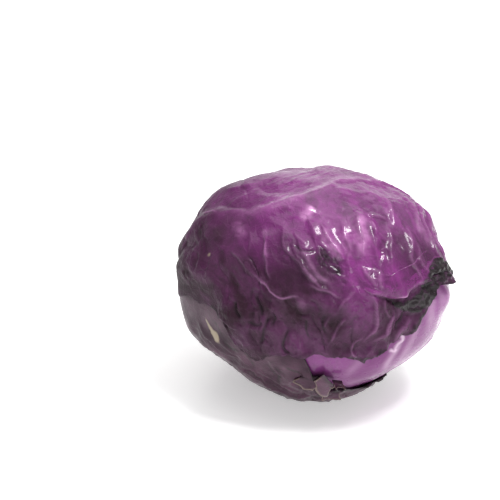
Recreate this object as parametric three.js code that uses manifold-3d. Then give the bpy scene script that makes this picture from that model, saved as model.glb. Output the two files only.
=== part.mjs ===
// A head of red cabbage lying on its side: a tight heart, three wrapper leaves laid over it one on another,
// and the cut stump of its stem. Millimetres, +Z up, the stem towards -X and the crown towards +X.
import * as THREE from "three";
import Module from "manifold-3d";

const wasm = await Module();
wasm.setup();

// Driving sizes of the head, in millimetres, measured from its centre.
const HALF_LENGTH = 79;
const HALF_WIDTH = 65.5;
const HALF_HEIGHT = 65.5;
const CROWN_LIFT = 9; // degrees that the crown end is tipped up
const REST_DEPTH = 64; // the heart's flat underside, below its centre
const SEAT_DEPTH = 66.5; // the heart's flat stem end, from its centre
const LEAF_THICKNESS = 1.4;
const LEAF_EDGE = 0.9;
const LAYER_GAP = 0.65;
const STUMP_RADIUS = 14;
const STUMP_LENGTH = 12.5;

const RAD = Math.PI / 180;
const MM_PER_DEGREE = HALF_WIDTH * RAD;

// Directions from the head's centre. rise is the angle from the stem pole, 180 at the crown. turn goes round
// the axis: 0 on top, 90 on the side where the top leaf is split, 180 underneath.
const ACROSS = new THREE.Vector3(0, 1, 0);
const AXIS = new THREE.Vector3(1, 0, 0).applyAxisAngle(ACROSS, -CROWN_LIFT * RAD);
const UPWARD = new THREE.Vector3(0, 0, 1).applyAxisAngle(ACROSS, -CROWN_LIFT * RAD);

function direction(rise, turn) {
  const r = rise * RAD;
  const t = turn * RAD;
  return new THREE.Vector3(-Math.cos(r), -Math.sin(r) * Math.sin(t), Math.sin(r) * Math.cos(t)).applyAxisAngle(
    ACROSS,
    -CROWN_LIFT * RAD,
  );
}

function smoothStep(low, high, value) {
  const t = THREE.MathUtils.clamp((value - low) / (high - low), 0, 1);
  return t * t * (3 - 2 * t);
}

// The bare head: an ellipsoid with broad swellings and hollows, and low folds all over.
const LOBES = [
  { rise: 38, turn: 22, spread: 36, share: 0.075 }, // shoulder above the stem
  { rise: 52, turn: 358, spread: 18, share: 0.045 },
  { rise: 28, turn: 104, spread: 17, share: 0.02 },
  { rise: 50, turn: 138, spread: 25, share: -0.06 }, // drawn in under the stem end
  { rise: 84, turn: 158, spread: 28, share: 0.03 },
  { rise: 124, turn: 170, spread: 25, share: -0.05 }, // drawn in under the crown end
  { rise: 110, turn: 332, spread: 24, share: -0.02 },
  { rise: 148, turn: 200, spread: 20, share: 0.04 },
  { rise: 158, turn: 274, spread: 20, share: -0.09 },
  { rise: 158, turn: 100, spread: 20, share: -0.03 },
  { rise: 175, turn: 75, spread: 15, share: 0.05 }, // the point at the crown
  { rise: 95, turn: 262, spread: 40, share: 0.02 },
  { rise: 146, turn: 302, spread: 12, share: 0.04 },
  { rise: 158, turn: 246, spread: 9, share: 0.06 },
  { rise: 174, turn: 140, spread: 8, share: 0.055 }, // the bulge below the point
].map((lobe) => ({ ...lobe, towards: direction(lobe.rise, lobe.turn) }));

const FOLDS = [
  { along: [7.5, 3.0, -5.5], start: 0.4, height: 0.35 },
  { along: [-3.5, 8.5, 4.0], start: 2.1, height: 0.35 },
  { along: [5.0, -6.0, 8.0], start: 4.2, height: 0.3 },
  { along: [10.0, 2.5, 6.5], start: 5.3, height: 0.25 },
].map((fold) => ({ ...fold, wave: new THREE.Vector3(...fold.along) }));

// The stem end is drawn in to a flat seat for the stump: flat as far as near, and back to the bare head at far.
const STEM_SEAT = { near: 13, far: 33 };

function bareRadius(d) {
  const ellipsoid = Math.hypot(d.dot(AXIS) / HALF_LENGTH, d.y / HALF_WIDTH, d.dot(UPWARD) / HALF_HEIGHT);
  let r = 1 / ellipsoid;
  for (const lobe of LOBES) {
    r *= 1 + lobe.share * Math.exp(-((d.angleTo(lobe.towards) / RAD / lobe.spread) ** 2));
  }
  for (const fold of FOLDS) {
    r += fold.height * Math.sin(fold.wave.dot(d) + fold.start);
  }
  return r;
}

// How far out a layer lies in a direction: it follows the bare head, and is flat where the head rests and
// where the stem sits.
function layerRadius(d, offset) {
  let r = bareRadius(d) + offset;
  const fromStem = 180 - d.angleTo(AXIS) / RAD;
  if (fromStem < STEM_SEAT.far) {
    const toSeat = (SEAT_DEPTH + offset) / Math.cos(fromStem * RAD);
    r = THREE.MathUtils.lerp(toSeat, r, smoothStep(STEM_SEAT.near, STEM_SEAT.far, fromStem));
  }
  return d.z < 0 ? Math.min(r, (REST_DEPTH + offset) / -d.z) : r;
}

// A closed smooth curve through (angle, distance) points, both in degrees.
function outlineOf(points) {
  const count = points.length;
  return (angle) => {
    const a = ((angle % 360) + 360) % 360;
    let i = points.findIndex(([next]) => next > a);
    if (i < 0) i = count;
    const at = (k) => {
      const turns = Math.floor(k / count);
      const [pointAngle, reach] = points[((k % count) + count) % count];
      return [pointAngle + 360 * turns, reach];
    };
    const [p0, p1, p2, p3] = [at(i - 2), at(i - 1), at(i), at(i + 1)];
    const t = (a - p1[0]) / (p2[0] - p1[0]);
    const slope1 = ((p2[1] - p0[1]) / (p2[0] - p0[0])) * (p2[0] - p1[0]);
    const slope2 = ((p3[1] - p1[1]) / (p3[0] - p1[0])) * (p2[0] - p1[0]);
    const t2 = t * t;
    const t3 = t2 * t;
    return (
      (2 * t3 - 3 * t2 + 1) * p1[1] + (t3 - 2 * t2 + t) * slope1 + (3 * t2 - 2 * t3) * p2[1] + (t3 - t2) * slope2
    );
  };
}

// A leaf is drawn flat round the middle of its blade, in degrees of arc over the head: x towards its tip, y
// towards a larger turn. at() wraps a flat place round the head, and flat() unwraps a direction.
function leafFrame({ rise, turn, lean }) {
  const centre = direction(rise, turn);
  const forward = direction(rise + 90, turn);
  const sideways = new THREE.Vector3().crossVectors(forward, centre);
  const tip = forward.clone().multiplyScalar(Math.cos(lean * RAD)).addScaledVector(sideways, Math.sin(lean * RAD));
  const side = new THREE.Vector3().crossVectors(tip, centre);
  return {
    at(x, y) {
      const reach = Math.hypot(x, y);
      const way = tip.clone().multiplyScalar(x).addScaledVector(side, y);
      if (reach > 0) way.multiplyScalar(Math.sin(reach * RAD) / reach);
      return way.addScaledVector(centre, Math.cos(reach * RAD));
    },
    flat(d) {
      const reach = d.angleTo(centre) / RAD;
      const angle = Math.atan2(d.dot(side), d.dot(tip));
      return [reach * Math.cos(angle), reach * Math.sin(angle)];
    },
  };
}

// Veins stand out of a leaf as rounded ribs. A vein is a line of flat places with a height and a half-width in
// millimetres that both run down to its end.
function sampled(points, steps) {
  const curve = new THREE.CatmullRomCurve3(points.map(([x, y]) => new THREE.Vector3(x, y, 0)));
  return curve.getPoints(steps).map((p) => [p.x, p.y]);
}

function veinsOf(leaf) {
  const midrib = sampled(leaf.midrib, 24);
  const veins = [{ line: midrib, height: leaf.midribHeight, width: 5.5 }];
  for (let k = 0; k < leaf.veinPairs; k += 1) {
    for (const side of [-1, 1]) {
      const along = (k + 0.6 + 0.25 * side) / (leaf.veinPairs + 0.6);
      const start = Math.min(22, Math.round(22 * along));
      const [x0, y0] = midrib[start];
      const [x1, y1] = midrib[start + 1];
      const stem = Math.atan2(y1 - y0, x1 - x0) / RAD;
      let heading = stem + side * THREE.MathUtils.lerp(68, 34, along);
      const line = [[x0, y0]];
      for (let step = 0; step < 7; step += 1) {
        const [x, y] = line[line.length - 1];
        const next = [x + 12 * Math.cos(heading * RAD), y + 12 * Math.sin(heading * RAD)];
        if (leaf.marginAt(...next) < 5) break;
        line.push(next);
        heading -= side * 5;
      }
      if (line.length > 1) veins.push({ line, height: 1.1, width: 3.6 });
    }
  }
  return veins;
}

function veinHeight(veins, x, y) {
  let highest = 0;
  for (const { line, height, width } of veins) {
    for (let i = 0; i + 1 < line.length; i += 1) {
      const [ax, ay] = line[i];
      const [bx, by] = line[i + 1];
      const length2 = (bx - ax) ** 2 + (by - ay) ** 2;
      const t = THREE.MathUtils.clamp(((x - ax) * (bx - ax) + (y - ay) * (by - ay)) / length2, 0, 1);
      const gap = MM_PER_DEGREE * Math.hypot(x - ax - t * (bx - ax), y - ay - t * (by - ay));
      const spent = (i + t) / (line.length - 1);
      const reach = width * (1 - 0.45 * spent);
      highest = Math.max(highest, height * (1 - 0.7 * spent) * Math.exp(-((gap / reach) ** 2)));
    }
  }
  return highest;
}

// The wrapper leaves, the innermost first. Each lies over the ones before it.
const BACK_LEAF = {
  name: "back_leaf",
  place: { rise: 90, turn: 262, lean: 4 },
  outline: [
    [0, 67],
    [25, 75],
    [60, 74],
    [90, 72],
    [120, 76],
    [150, 75],
    [180, 72],
    [205, 70],
    [235, 62],
    [270, 53],
    [305, 53],
    [335, 58],
  ],
  midrib: [
    [-77, 2],
    [-40, -3],
    [0, 0],
    [40, 6],
    [70, 9],
  ],
  midribHeight: 2.6,
  veinPairs: 6,
  waves: 1.2,
  ruffle: 1.2,
  loose: [0, 360],
};

const UNDER_LEAF = {
  name: "under_leaf",
  place: { rise: 88, turn: 172, lean: 0 },
  outline: [
    [0, 34],
    [30, 44],
    [60, 62],
    [90, 72],
    [120, 76],
    [150, 73],
    [180, 71],
    [197, 82],
    [209, 100],
    [220, 103],
    [233, 99],
    [247, 90],
    [260, 80],
    [274, 72],
    [281, 67],
    [283.5, 59],
    [285.5, 51],
    [290, 45],
    [297, 40],
    [307, 35],
    [325, 32],
    [344, 32],
  ],
  midrib: [
    [-75, 3],
    [-45, 5],
    [-10, 2],
    [18, -2],
    [36, -4],
  ],
  midribHeight: 2.4,
  veinPairs: 5,
  waves: 1.1,
  ruffle: 1.0,
  loose: [262, 302],
};

const TOP_LEAF = {
  name: "top_leaf",
  place: { rise: 92, turn: 25, lean: -8 },
  outline: [
    [0, 87],
    [10, 84],
    [19, 80],
    [27, 82],
    [36, 86],
    [45, 88],
    [53, 89],
    [62, 88.5],
    [68, 85],
    [74, 82.5],
    [82, 79.5],
    [90, 78.5],
    [97, 77.5],
    [105, 80],
    [113, 83],
    [121, 77],
    [126, 71],
    [131, 67.5],
    [138, 65],
    [146, 65.5],
    [153, 67],
    [160, 71],
    [168, 76],
    [178, 76],
    [190, 73],
    [203, 69],
    [218, 72],
    [238, 80],
    [262, 83],
    [290, 84],
    [318, 86],
    [340, 88],
  ],
  midrib: [
    [-78, 4],
    [-56, -4],
    [-34, -1],
    [-18, 4],
    [-1, 3],
    [14, -8],
    [26, -22],
    [46, -33],
    [68, -37],
  ],
  midribHeight: 2.6,
  veinPairs: 8,
  waves: 1.3,
  ruffle: 1.6,
  loose: [2, 95],
};

const LEAVES = [BACK_LEAF, UNDER_LEAF, TOP_LEAF];
for (const leaf of LEAVES) {
  leaf.frame = leafFrame(leaf.place);
  leaf.reachAt = outlineOf(leaf.outline);
  // How far a flat place is inside the leaf's margin, in degrees.
  leaf.marginAt = (x, y) => leaf.reachAt(Math.atan2(y, x) / RAD) - Math.hypot(x, y);
  leaf.veins = veinsOf(leaf);
}

// 1 where a leaf lies, falling to 0 past its margin.
const COVER_PAD = 4;
const COVER_FADE = 9;
function cover(leaf, d, pad = COVER_PAD) {
  return smoothStep(-pad - COVER_FADE, -pad, leaf.marginAt(...leaf.frame.flat(d)));
}

// The split in the top leaf: a line of flat places from its inner end to the margin at the crown. The side
// nearer the midrib laps over the other.
const SPLIT = sampled(
  [
    [34, 38.5],
    [40, 42],
    [47, 42],
    [52.5, 40.5],
    [57.5, 35.8],
    [62.5, 31],
    [66, 26.5],
    [69, 20.5],
    [74, 14.5],
    [80, 9.5],
    [86, 6],
  ],
  20,
);
const SPLIT_RISE = 3; // how high the lapping side stands, in millimetres
const SPLIT_LAP = 2; // how far it reaches over, in degrees
const SPLIT_OPENS = 0.22; // the share of the line over which it opens

// Where a flat place is beside the split: its share along, and its distance, less than 0 on the lapping side.
function besideSplit(x, y) {
  let best = { along: 0, away: Infinity };
  for (let i = 0; i + 1 < SPLIT.length; i += 1) {
    const [ax, ay] = SPLIT[i];
    const [bx, by] = SPLIT[i + 1];
    const [ux, uy] = [bx - ax, by - ay];
    const t = THREE.MathUtils.clamp(((x - ax) * ux + (y - ay) * uy) / (ux * ux + uy * uy), 0, 1);
    const away = Math.hypot(x - ax - t * ux, y - ay - t * uy);
    if (away < Math.abs(best.away)) {
      const side = Math.sign(ux * (y - ay) - uy * (x - ax));
      best = { along: (i + t) / (SPLIT.length - 1), away: away * side };
    }
  }
  return best;
}

// The split closes again towards the crown, where the margin lies tight.
function splitCloses(along) {
  return 1 - 0.6 * smoothStep(0.7, 1, along);
}

function splitRise(x, y) {
  const { along, away } = besideSplit(x, y);
  const opened = smoothStep(0, SPLIT_OPENS, along);
  const lapping = away < 0 ? 1 - smoothStep(2, 24, -away) : 1 - smoothStep(-1, 3, away);
  return SPLIT_RISE * opened * lapping * splitCloses(along);
}

// 1 where a margin stands loose, between its two angles round the blade, and less where it lies against the head.
function looseness(leaf, angle) {
  const [from, to] = leaf.loose;
  if (to - from === 360) return 1;
  const turned = (((angle - from) % 360) + 360) % 360;
  return 0.15 + 0.85 * smoothStep(0, 12, turned) * smoothStep(to - from, to - from - 12, turned);
}

// What a leaf's two faces stand above the bare head at a flat place, in millimetres.
function leafOffsets(leaf, order, x, y) {
  const d = leaf.frame.at(x, y);
  let inner = LAYER_GAP;
  for (const below of LEAVES.slice(0, order)) inner += cover(below, d) * (LEAF_THICKNESS + LAYER_GAP);
  let bare = 1;
  for (const above of LEAVES.slice(order + 1)) bare *= 1 - cover(above, d, COVER_PAD + 5);
  const resting = smoothStep(32, 20, d.angleTo(new THREE.Vector3(0, 0, -1)) / RAD);
  bare *= 1 - resting;
  const inside = Math.max(0, leaf.marginAt(x, y));
  const angle = Math.atan2(y, x);
  const edge = 1 - smoothStep(0, 13, inside);
  const ripple = Math.sin(11 * angle + 0.8) * 0.6 + Math.sin(19 * angle + 2.3) * 0.4;
  inner += bare * edge * edge * leaf.ruffle * looseness(leaf, angle / RAD) * (1 + ripple);
  if (leaf === TOP_LEAF) inner += splitRise(x, y);
  const thickness = THREE.MathUtils.lerp(LEAF_THICKNESS, LEAF_EDGE, edge);
  return { d, inner, outer: inner + thickness + bare * veinHeight(leaf.veins, x, y) * (1 - 0.6 * edge) };
}

// The outermost faces stop at the plane that the head rests on.
const REST_PLANE = REST_DEPTH + LAYER_GAP + LEAF_THICKNESS;
function placed(d, offset) {
  const r = layerRadius(d, offset);
  return d.clone().multiplyScalar(d.z < 0 ? Math.min(r, REST_PLANE / -d.z) : r);
}

// Points on a disc in rings, a centre point first, with triangles between neighbouring rings.
function ringDisc(counts) {
  const points = [{ share: 0, angle: 0 }];
  const triangles = [];
  let inner = [0];
  counts.forEach((count, ring) => {
    const first = points.length;
    for (let i = 0; i < count; i += 1) points.push({ share: (ring + 1) / counts.length, angle: (360 * i) / count });
    const outer = Array.from({ length: count }, (_, i) => first + i);
    let a = 0;
    let b = 0;
    while (b < outer.length || (inner.length > 1 && a < inner.length)) {
      const nextInner = inner.length > 1 ? (a + 1) / inner.length : Infinity;
      const from = inner[a % inner.length];
      const to = outer[b % count];
      if ((b + 1) / count <= nextInner && b < count) {
        triangles.push([from, outer[(b + 1) % count], to]);
        b += 1;
      } else {
        triangles.push([from, inner[(a + 1) % inner.length], to]);
        a += 1;
      }
    }
    inner = outer;
  });
  return { points, triangles, rim: inner };
}

function geometryOf(points, triangles) {
  const geometry = new THREE.BufferGeometry();
  geometry.setAttribute("position", new THREE.Float32BufferAttribute(points.flatMap((p) => p.toArray()), 3));
  geometry.setIndex(triangles.flat());
  return geometry;
}

function solidOf(geometry) {
  const vertProperties = new Float32Array(geometry.getAttribute("position").array);
  const triVerts = new Uint32Array(geometry.index.array);
  return new wasm.Manifold(new wasm.Mesh({ numProp: 3, vertProperties, triVerts }));
}

function geometryOfSolid(solid) {
  const { vertProperties, triVerts, numProp } = solid.getMesh();
  const geometry = new THREE.BufferGeometry();
  const position = new Float32Array((vertProperties.length / numProp) * 3);
  for (let i = 0; i * numProp < vertProperties.length; i += 1) {
    position.set(vertProperties.subarray(i * numProp, i * numProp + 3), i * 3);
  }
  geometry.setAttribute("position", new THREE.BufferAttribute(position, 3));
  geometry.setIndex(new THREE.BufferAttribute(new Uint32Array(triVerts), 1));
  return geometry;
}

// A leaf's blade: a fine outer face, a coarser inner face, and the rim between them.
const OUTER_RINGS = [6, 12, 18, 25, 31, 37, 43, 49, 55, 61, 67, 73, 80, 96, 110];
const INNER_RINGS = [7, 14, 21, 28, 35, 42, 49, 56, 63, 72, 86, 110];
function bladeSolid(leaf, order) {
  const outer = ringDisc(OUTER_RINGS);
  const inner = ringDisc(INNER_RINGS);
  const wavy = (angle) =>
    leaf.reachAt(angle) + leaf.waves * (0.6 * Math.sin(13 * angle * RAD) + 0.4 * Math.sin(29 * angle * RAD + 1.1));
  const pointsOf = ({ points }, face) =>
    points.map(({ share, angle }) => {
      const reach = share * (share < 1 ? leaf.reachAt(angle) : wavy(angle));
      const offsets = leafOffsets(leaf, order, reach * Math.cos(angle * RAD), reach * Math.sin(angle * RAD));
      return placed(offsets.d, offsets[face]);
    });
  const lift = outer.points.length;
  const triangles = [...outer.triangles];
  for (const [a, b, c] of inner.triangles) triangles.push([a + lift, c + lift, b + lift]);
  outer.rim.forEach((o, i) => {
    const next = outer.rim[(i + 1) % outer.rim.length];
    const under = inner.rim[i] + lift;
    const underNext = inner.rim[(i + 1) % inner.rim.length] + lift;
    triangles.push([o, next, under], [next, underNext, under]);
  });
  return solidOf(geometryOf([...pointsOf(outer, "outer"), ...pointsOf(inner, "inner")], triangles));
}

// A closed strip: a grid of outer points and a matching grid of inner points, with its four sides closed.
function stripSolid(columns, rows, pointAt) {
  const points = [];
  for (const face of ["outer", "inner"]) {
    for (let i = 0; i <= columns; i += 1) {
      for (let j = 0; j <= rows; j += 1) points.push(pointAt(i / columns, j / rows, face));
    }
  }
  const half = (columns + 1) * (rows + 1);
  const at = (i, j) => i * (rows + 1) + j;
  const triangles = [];
  for (let i = 0; i < columns; i += 1) {
    for (let j = 0; j < rows; j += 1) {
      const [a, b, c, d] = [at(i, j), at(i + 1, j), at(i + 1, j + 1), at(i, j + 1)];
      triangles.push([a, b, c], [a, c, d], [a + half, c + half, b + half], [a + half, d + half, c + half]);
    }
  }
  const wall = (a, b) => triangles.push([b, a, a + half], [b, a + half, b + half]);
  for (let i = 0; i < columns; i += 1) {
    wall(at(i, 0), at(i + 1, 0));
    wall(at(i + 1, rows), at(i, rows));
  }
  for (let j = 0; j < rows; j += 1) {
    wall(at(0, j + 1), at(0, j));
    wall(at(columns, j), at(columns, j + 1));
  }
  const solid = solidOf(geometryOf(points, triangles));
  if (solid.volume() > 0) return solid;
  return solidOf(geometryOf(points, triangles.map(([a, b, c]) => [a, c, b])));
}

// The lip that laps over the split, rooted in the blade on its upper side.
function splitLip() {
  const order = LEAVES.indexOf(TOP_LEAF);
  const rootedAt = -8;
  return stripSolid(26, 5, (along, across, face) => {
    const place = along * (SPLIT.length - 1);
    const i = Math.min(SPLIT.length - 2, Math.floor(place));
    const [ax, ay] = SPLIT[i];
    const [bx, by] = SPLIT[i + 1];
    const length = Math.hypot(bx - ax, by - ay);
    const ragged = SPLIT_LAP * (1 + 0.3 * Math.sin(19 * along));
    const away = THREE.MathUtils.lerp(rootedAt, ragged, across);
    const x = ax + (bx - ax) * (place - i) - ((by - ay) / length) * away;
    const y = ay + (by - ay) * (place - i) + ((bx - ax) / length) * away;
    const { d, outer } = leafOffsets(TOP_LEAF, order, x, y);
    const opened = smoothStep(0, SPLIT_OPENS, along);
    const rooted = smoothStep(0, 0.55, across);
    const lapped = SPLIT_RISE * opened * splitCloses(along);
    const top = outer - splitRise(x, y) + lapped - 0.7 * (1 - rooted) - 0.5 * (1 - opened);
    return placed(d, face === "outer" ? top : top - LEAF_EDGE);
  });
}

// A torn scrap of margin that curls away from the head. It is rooted in the leaf at a flat place.
function curledScrap(leaf, { at: [x0, y0], heading, long, wide, lift }) {
  const order = LEAVES.indexOf(leaf);
  const [ux, uy] = [Math.cos(heading * RAD), Math.sin(heading * RAD)];
  return stripSolid(5, 4, (along, across, face) => {
    const out = long * (along * 1.15 - 0.15);
    const half = wide * (1 - 0.75 * along ** 2) * (across - 0.5);
    const { d, outer } = leafOffsets(leaf, order, x0 + ux * out - uy * half, y0 + uy * out + ux * half);
    const risen = lift * along ** 1.6 + 0.8 * (2 * across - 1) ** 2 * along;
    const top = outer - 0.4 + risen;
    return placed(d, face === "outer" ? top : top - LEAF_EDGE);
  });
}

const SCRAPS = [
  { at: [15, -35], heading: -75, long: 8.5, wide: 9, lift: 6.5 },
  { at: [8, -41], heading: -110, long: 8, wide: 8, lift: 4 },
  { at: [21, -27], heading: -50, long: 6, wide: 6, lift: 3 },
];

// The heart: the tight inner leaves as one body, with the margins of the outermost of them standing a little
// proud where each laps the next.
const HEART_MARGINS = [
  { rise: 96, turn: 112, reach: 74, step: 0.5 },
  { rise: 96, turn: 236, reach: 76, step: 0.5 },
  { rise: 98, turn: 350, reach: 78, step: 0.5 },
].map((margin) => ({ ...margin, towards: direction(margin.rise, margin.turn) }));

function heartOffset(d) {
  let offset = -0.3;
  for (const { towards, reach, step } of HEART_MARGINS) {
    const inside = reach - d.angleTo(towards) / RAD;
    offset -= step * (1 - smoothStep(0, 3, inside)) * smoothStep(-26, -6, inside);
  }
  return offset;
}

// Enough points of an even ball, in rings from the stem pole to the crown pole.
function heartGeometry() {
  const rings = 30;
  const points = [placed(direction(0, 0), heartOffset(direction(0, 0)))];
  const triangles = [];
  let before = [0];
  const stitch = (low, high) => {
    let a = 0;
    let b = 0;
    while ((low.length > 1 && a < low.length) || (high.length > 1 && b < high.length)) {
      const nextLow = low.length > 1 ? (a + 1) / low.length : Infinity;
      const nextHigh = high.length > 1 ? (b + 1) / high.length : Infinity;
      const from = low[a % low.length];
      const to = high[b % high.length];
      if (nextHigh <= nextLow && b < high.length) {
        triangles.push([from, high[(b + 1) % high.length], to]);
        b += 1;
      } else {
        triangles.push([low[(a + 1) % low.length], to, from]);
        a += 1;
      }
    }
  };
  for (let ring = 1; ring < rings; ring += 1) {
    const rise = (180 * ring) / rings;
    const count = Math.max(7, Math.round(2 * rings * 0.9 * Math.sin(rise * RAD)));
    const here = [];
    for (let i = 0; i < count; i += 1) {
      const d = direction(rise, (360 * i) / count);
      here.push(points.length);
      points.push(placed(d, heartOffset(d)));
    }
    stitch(before, here);
    before = here;
  }
  const crown = direction(180, 0);
  points.push(placed(crown, heartOffset(crown)));
  stitch(before, [points.length - 1]);
  return geometryOf(points, triangles);
}

// The stump: a slightly waisted stub of stem with a knife-cut end, sitting on the heart's flat stem end.
function stumpGeometry() {
  const profile = [
    [0, 0],
    [STUMP_RADIUS, 0],
    [STUMP_RADIUS + 0.4, STUMP_LENGTH * 0.3],
    [STUMP_RADIUS - 0.4, STUMP_LENGTH * 0.7],
    [STUMP_RADIUS - 0.2, STUMP_LENGTH - 1],
    [STUMP_RADIUS - 1.2, STUMP_LENGTH],
    [0, STUMP_LENGTH + 0.4],
  ].map(([r, h]) => new THREE.Vector2(r, h));
  return new THREE.LatheGeometry(profile, 28);
}

function material(colour, roughness) {
  return new THREE.MeshStandardMaterial({ color: new THREE.Color(...colour), roughness, metalness: 0 });
}

const head = new THREE.Group();

function addNode(name, geometry, look) {
  const mesh = new THREE.Mesh(geometry, look);
  mesh.name = name;
  head.add(mesh);
  return mesh;
}

addNode("heart", heartGeometry(), material([0.38, 0.09, 0.32], 0.35));
const back = bladeSolid(BACK_LEAF, 0);
const under = SCRAPS.reduce((solid, scrap) => solid.add(curledScrap(UNDER_LEAF, scrap)), bladeSolid(UNDER_LEAF, 1));
const top = bladeSolid(TOP_LEAF, 2).add(splitLip());
addNode("back_leaf", geometryOfSolid(back), material([0.16, 0.05, 0.14], 0.4));
addNode("under_leaf", geometryOfSolid(under), material([0.11, 0.04, 0.1], 0.45));
addNode("top_leaf", geometryOfSolid(top), material([0.2, 0.05, 0.18], 0.38));

const stump = addNode("stem_stump", stumpGeometry(), material([0.72, 0.66, 0.5], 0.6));
const SEAT_GAP = 0.3;
stump.quaternion.setFromUnitVectors(ACROSS, AXIS.clone().negate());
stump.position.copy(AXIS).multiplyScalar(-(SEAT_DEPTH + SEAT_GAP));

// The origin is the middle of the space that the head takes up, at the plane it rests on.
const bounds = new THREE.Box3().setFromObject(head, true);
const middle = bounds.getCenter(new THREE.Vector3());
head.position.set(-middle.x, -middle.y, REST_PLANE);

export default head;
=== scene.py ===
import math

import bpy
import numpy as np
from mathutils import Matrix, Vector


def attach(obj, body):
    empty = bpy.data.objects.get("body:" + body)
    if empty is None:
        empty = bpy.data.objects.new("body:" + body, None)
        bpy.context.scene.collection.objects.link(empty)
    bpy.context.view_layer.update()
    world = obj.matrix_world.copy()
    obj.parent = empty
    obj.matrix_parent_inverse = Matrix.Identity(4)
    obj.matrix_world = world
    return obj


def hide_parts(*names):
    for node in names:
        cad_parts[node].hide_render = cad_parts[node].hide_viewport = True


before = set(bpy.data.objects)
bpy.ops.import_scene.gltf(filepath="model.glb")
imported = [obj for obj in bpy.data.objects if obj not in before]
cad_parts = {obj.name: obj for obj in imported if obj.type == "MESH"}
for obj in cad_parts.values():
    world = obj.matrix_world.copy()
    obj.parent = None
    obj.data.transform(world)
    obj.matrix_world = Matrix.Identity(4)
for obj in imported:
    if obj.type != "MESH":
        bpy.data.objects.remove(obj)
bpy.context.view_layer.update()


# The heart. Many inner leaves, packed tight round the stem, of which only the outermost show: smooth, waxy
# and pink-purple, with pale veins, and with each one's margin lying a little proud of the next.
HEAD_CENTRE = np.array([-1.268, 0.129, 66.05])
HALF_LENGTH = 79.0
HALF_WIDTH = 65.5
HALF_HEIGHT = 65.5
CROWN_LIFT = 9.0
REST_DEPTH = 64.0
SEAT_DEPTH = 66.5
SEAT_NEAR = 13.0
SEAT_FAR = 33.0
LAYER_GAP = 0.65
LEAF_THICKNESS = 1.4
REST_PLANE = REST_DEPTH + LAYER_GAP + LEAF_THICKNESS
HEART_SPACING = 1.0
MM_PER_DEGREE = math.radians(HALF_WIDTH)


# rise is the angle from the stem pole, 180 at the crown. turn goes round the axis: 0 on top, 90 on the near
# side.
def direction(rise, turn):
    r, t = np.radians(rise), np.radians(turn)
    along = -np.cos(r) + 0 * t
    near = -np.sin(r) * np.sin(t)
    up = np.sin(r) * np.cos(t)
    lift = math.radians(CROWN_LIFT)
    x = along * math.cos(lift) - up * math.sin(lift)
    z = along * math.sin(lift) + up * math.cos(lift)
    return np.stack([x, near, z], axis=-1)


AXIS = direction(180.0, 0.0)
UPWARD = direction(90.0, 0.0)
DOWN = np.array([0.0, 0.0, -1.0])


def degrees_from(d, pole):
    return np.degrees(np.arccos(np.clip(d @ pole, -1, 1)))


# 0 before low, 1 after high, and a soft change between them.
def ease(low, high, value):
    t = np.clip((value - low) / (high - low), 0, 1)
    return t * t * (3 - 2 * t)


# 1 at nothing away, and soon falling to 0.
def bell(away, width):
    return np.exp(-((away / width) ** 2))


# rise, turn, spread in degrees, share of the radius
SWELLINGS = [
    (38, 22, 36, 0.075),
    (52, 358, 18, 0.045),
    (28, 104, 17, 0.02),
    (50, 138, 25, -0.06),
    (84, 158, 28, 0.03),
    (124, 170, 25, -0.05),
    (110, 332, 24, -0.02),
    (148, 200, 20, 0.04),
    (158, 274, 20, -0.09),
    (158, 100, 20, -0.03),
    (175, 75, 15, 0.05),
    (95, 262, 40, 0.02),
    (146, 302, 12, 0.04),
    (158, 246, 9, 0.06),
    (174, 140, 8, 0.055),
]
LOW_FOLDS = [
    ((7.5, 3.0, -5.5), 0.4, 0.35),
    ((-3.5, 8.5, 4.0), 2.1, 0.35),
    ((5.0, -6.0, 8.0), 4.2, 0.3),
    ((10.0, 2.5, 6.5), 5.3, 0.25),
]


def bare_radius(d):
    shares = (d @ AXIS / HALF_LENGTH, d[..., 1] / HALF_WIDTH, d @ UPWARD / HALF_HEIGHT)
    r = 1 / np.sqrt(sum(share ** 2 for share in shares))
    for rise, turn, spread, share in SWELLINGS:
        r = r * (1 + share * bell(degrees_from(d, direction(rise, turn)), spread))
    for wave, start, height in LOW_FOLDS:
        r = r + height * np.sin(d @ np.array(wave) + start)
    return r


# A layer follows the bare head, flat where the stump sits and where the head rests.
def placed(d, offset):
    r = bare_radius(d) + offset
    from_stem = degrees_from(d, -AXIS)
    seat = (SEAT_DEPTH + offset) / np.cos(np.radians(np.minimum(from_stem, 60)))
    r = seat + (r - seat) * ease(SEAT_NEAR, SEAT_FAR, from_stem)
    below = np.maximum(-d[..., 2], 1e-6)
    r = np.minimum(r, np.where(d[..., 2] < 0, np.minimum(REST_DEPTH + offset, REST_PLANE) / below, np.inf))
    return HEAD_CENTRE + d * r[..., None]


# Smooth random values from -1 to 1 at points in millimetres, for folds of the given size.
def waviness(points, size, seed):
    p = points / size + np.array([0.37, 0.71, 0.13]) * seed
    cell = np.floor(p).astype(np.int64)
    part = p - cell
    soft = part ** 3 * (part * (part * 6 - 15) + 10)
    total = np.zeros(len(p))
    for corner in range(8):
        step = np.array([corner & 1, corner >> 1 & 1, corner >> 2])
        key = (cell + step) @ np.array([374761393, 668265263, 974634533]) + seed * 69069
        key = key & 0xFFFFFFFF
        key = ((key ^ (key >> 13)) * 1274126177) & 0xFFFFFFFF
        value = (key ^ (key >> 16)) / 2147483648.0 - 1
        total += value * np.where(step, soft, 1 - soft).prod(axis=1)
    return total


# Sharp ridges of several sizes, from about 0 to 1.
def crumple(points, size, seed, octaves=3):
    ridges = (1 - 2 * np.abs(waviness(points, size / 2 ** n, seed + n)) for n in range(octaves))
    return sum(ridge / 1.9 ** (n + 1) for n, ridge in enumerate(ridges))


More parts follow.
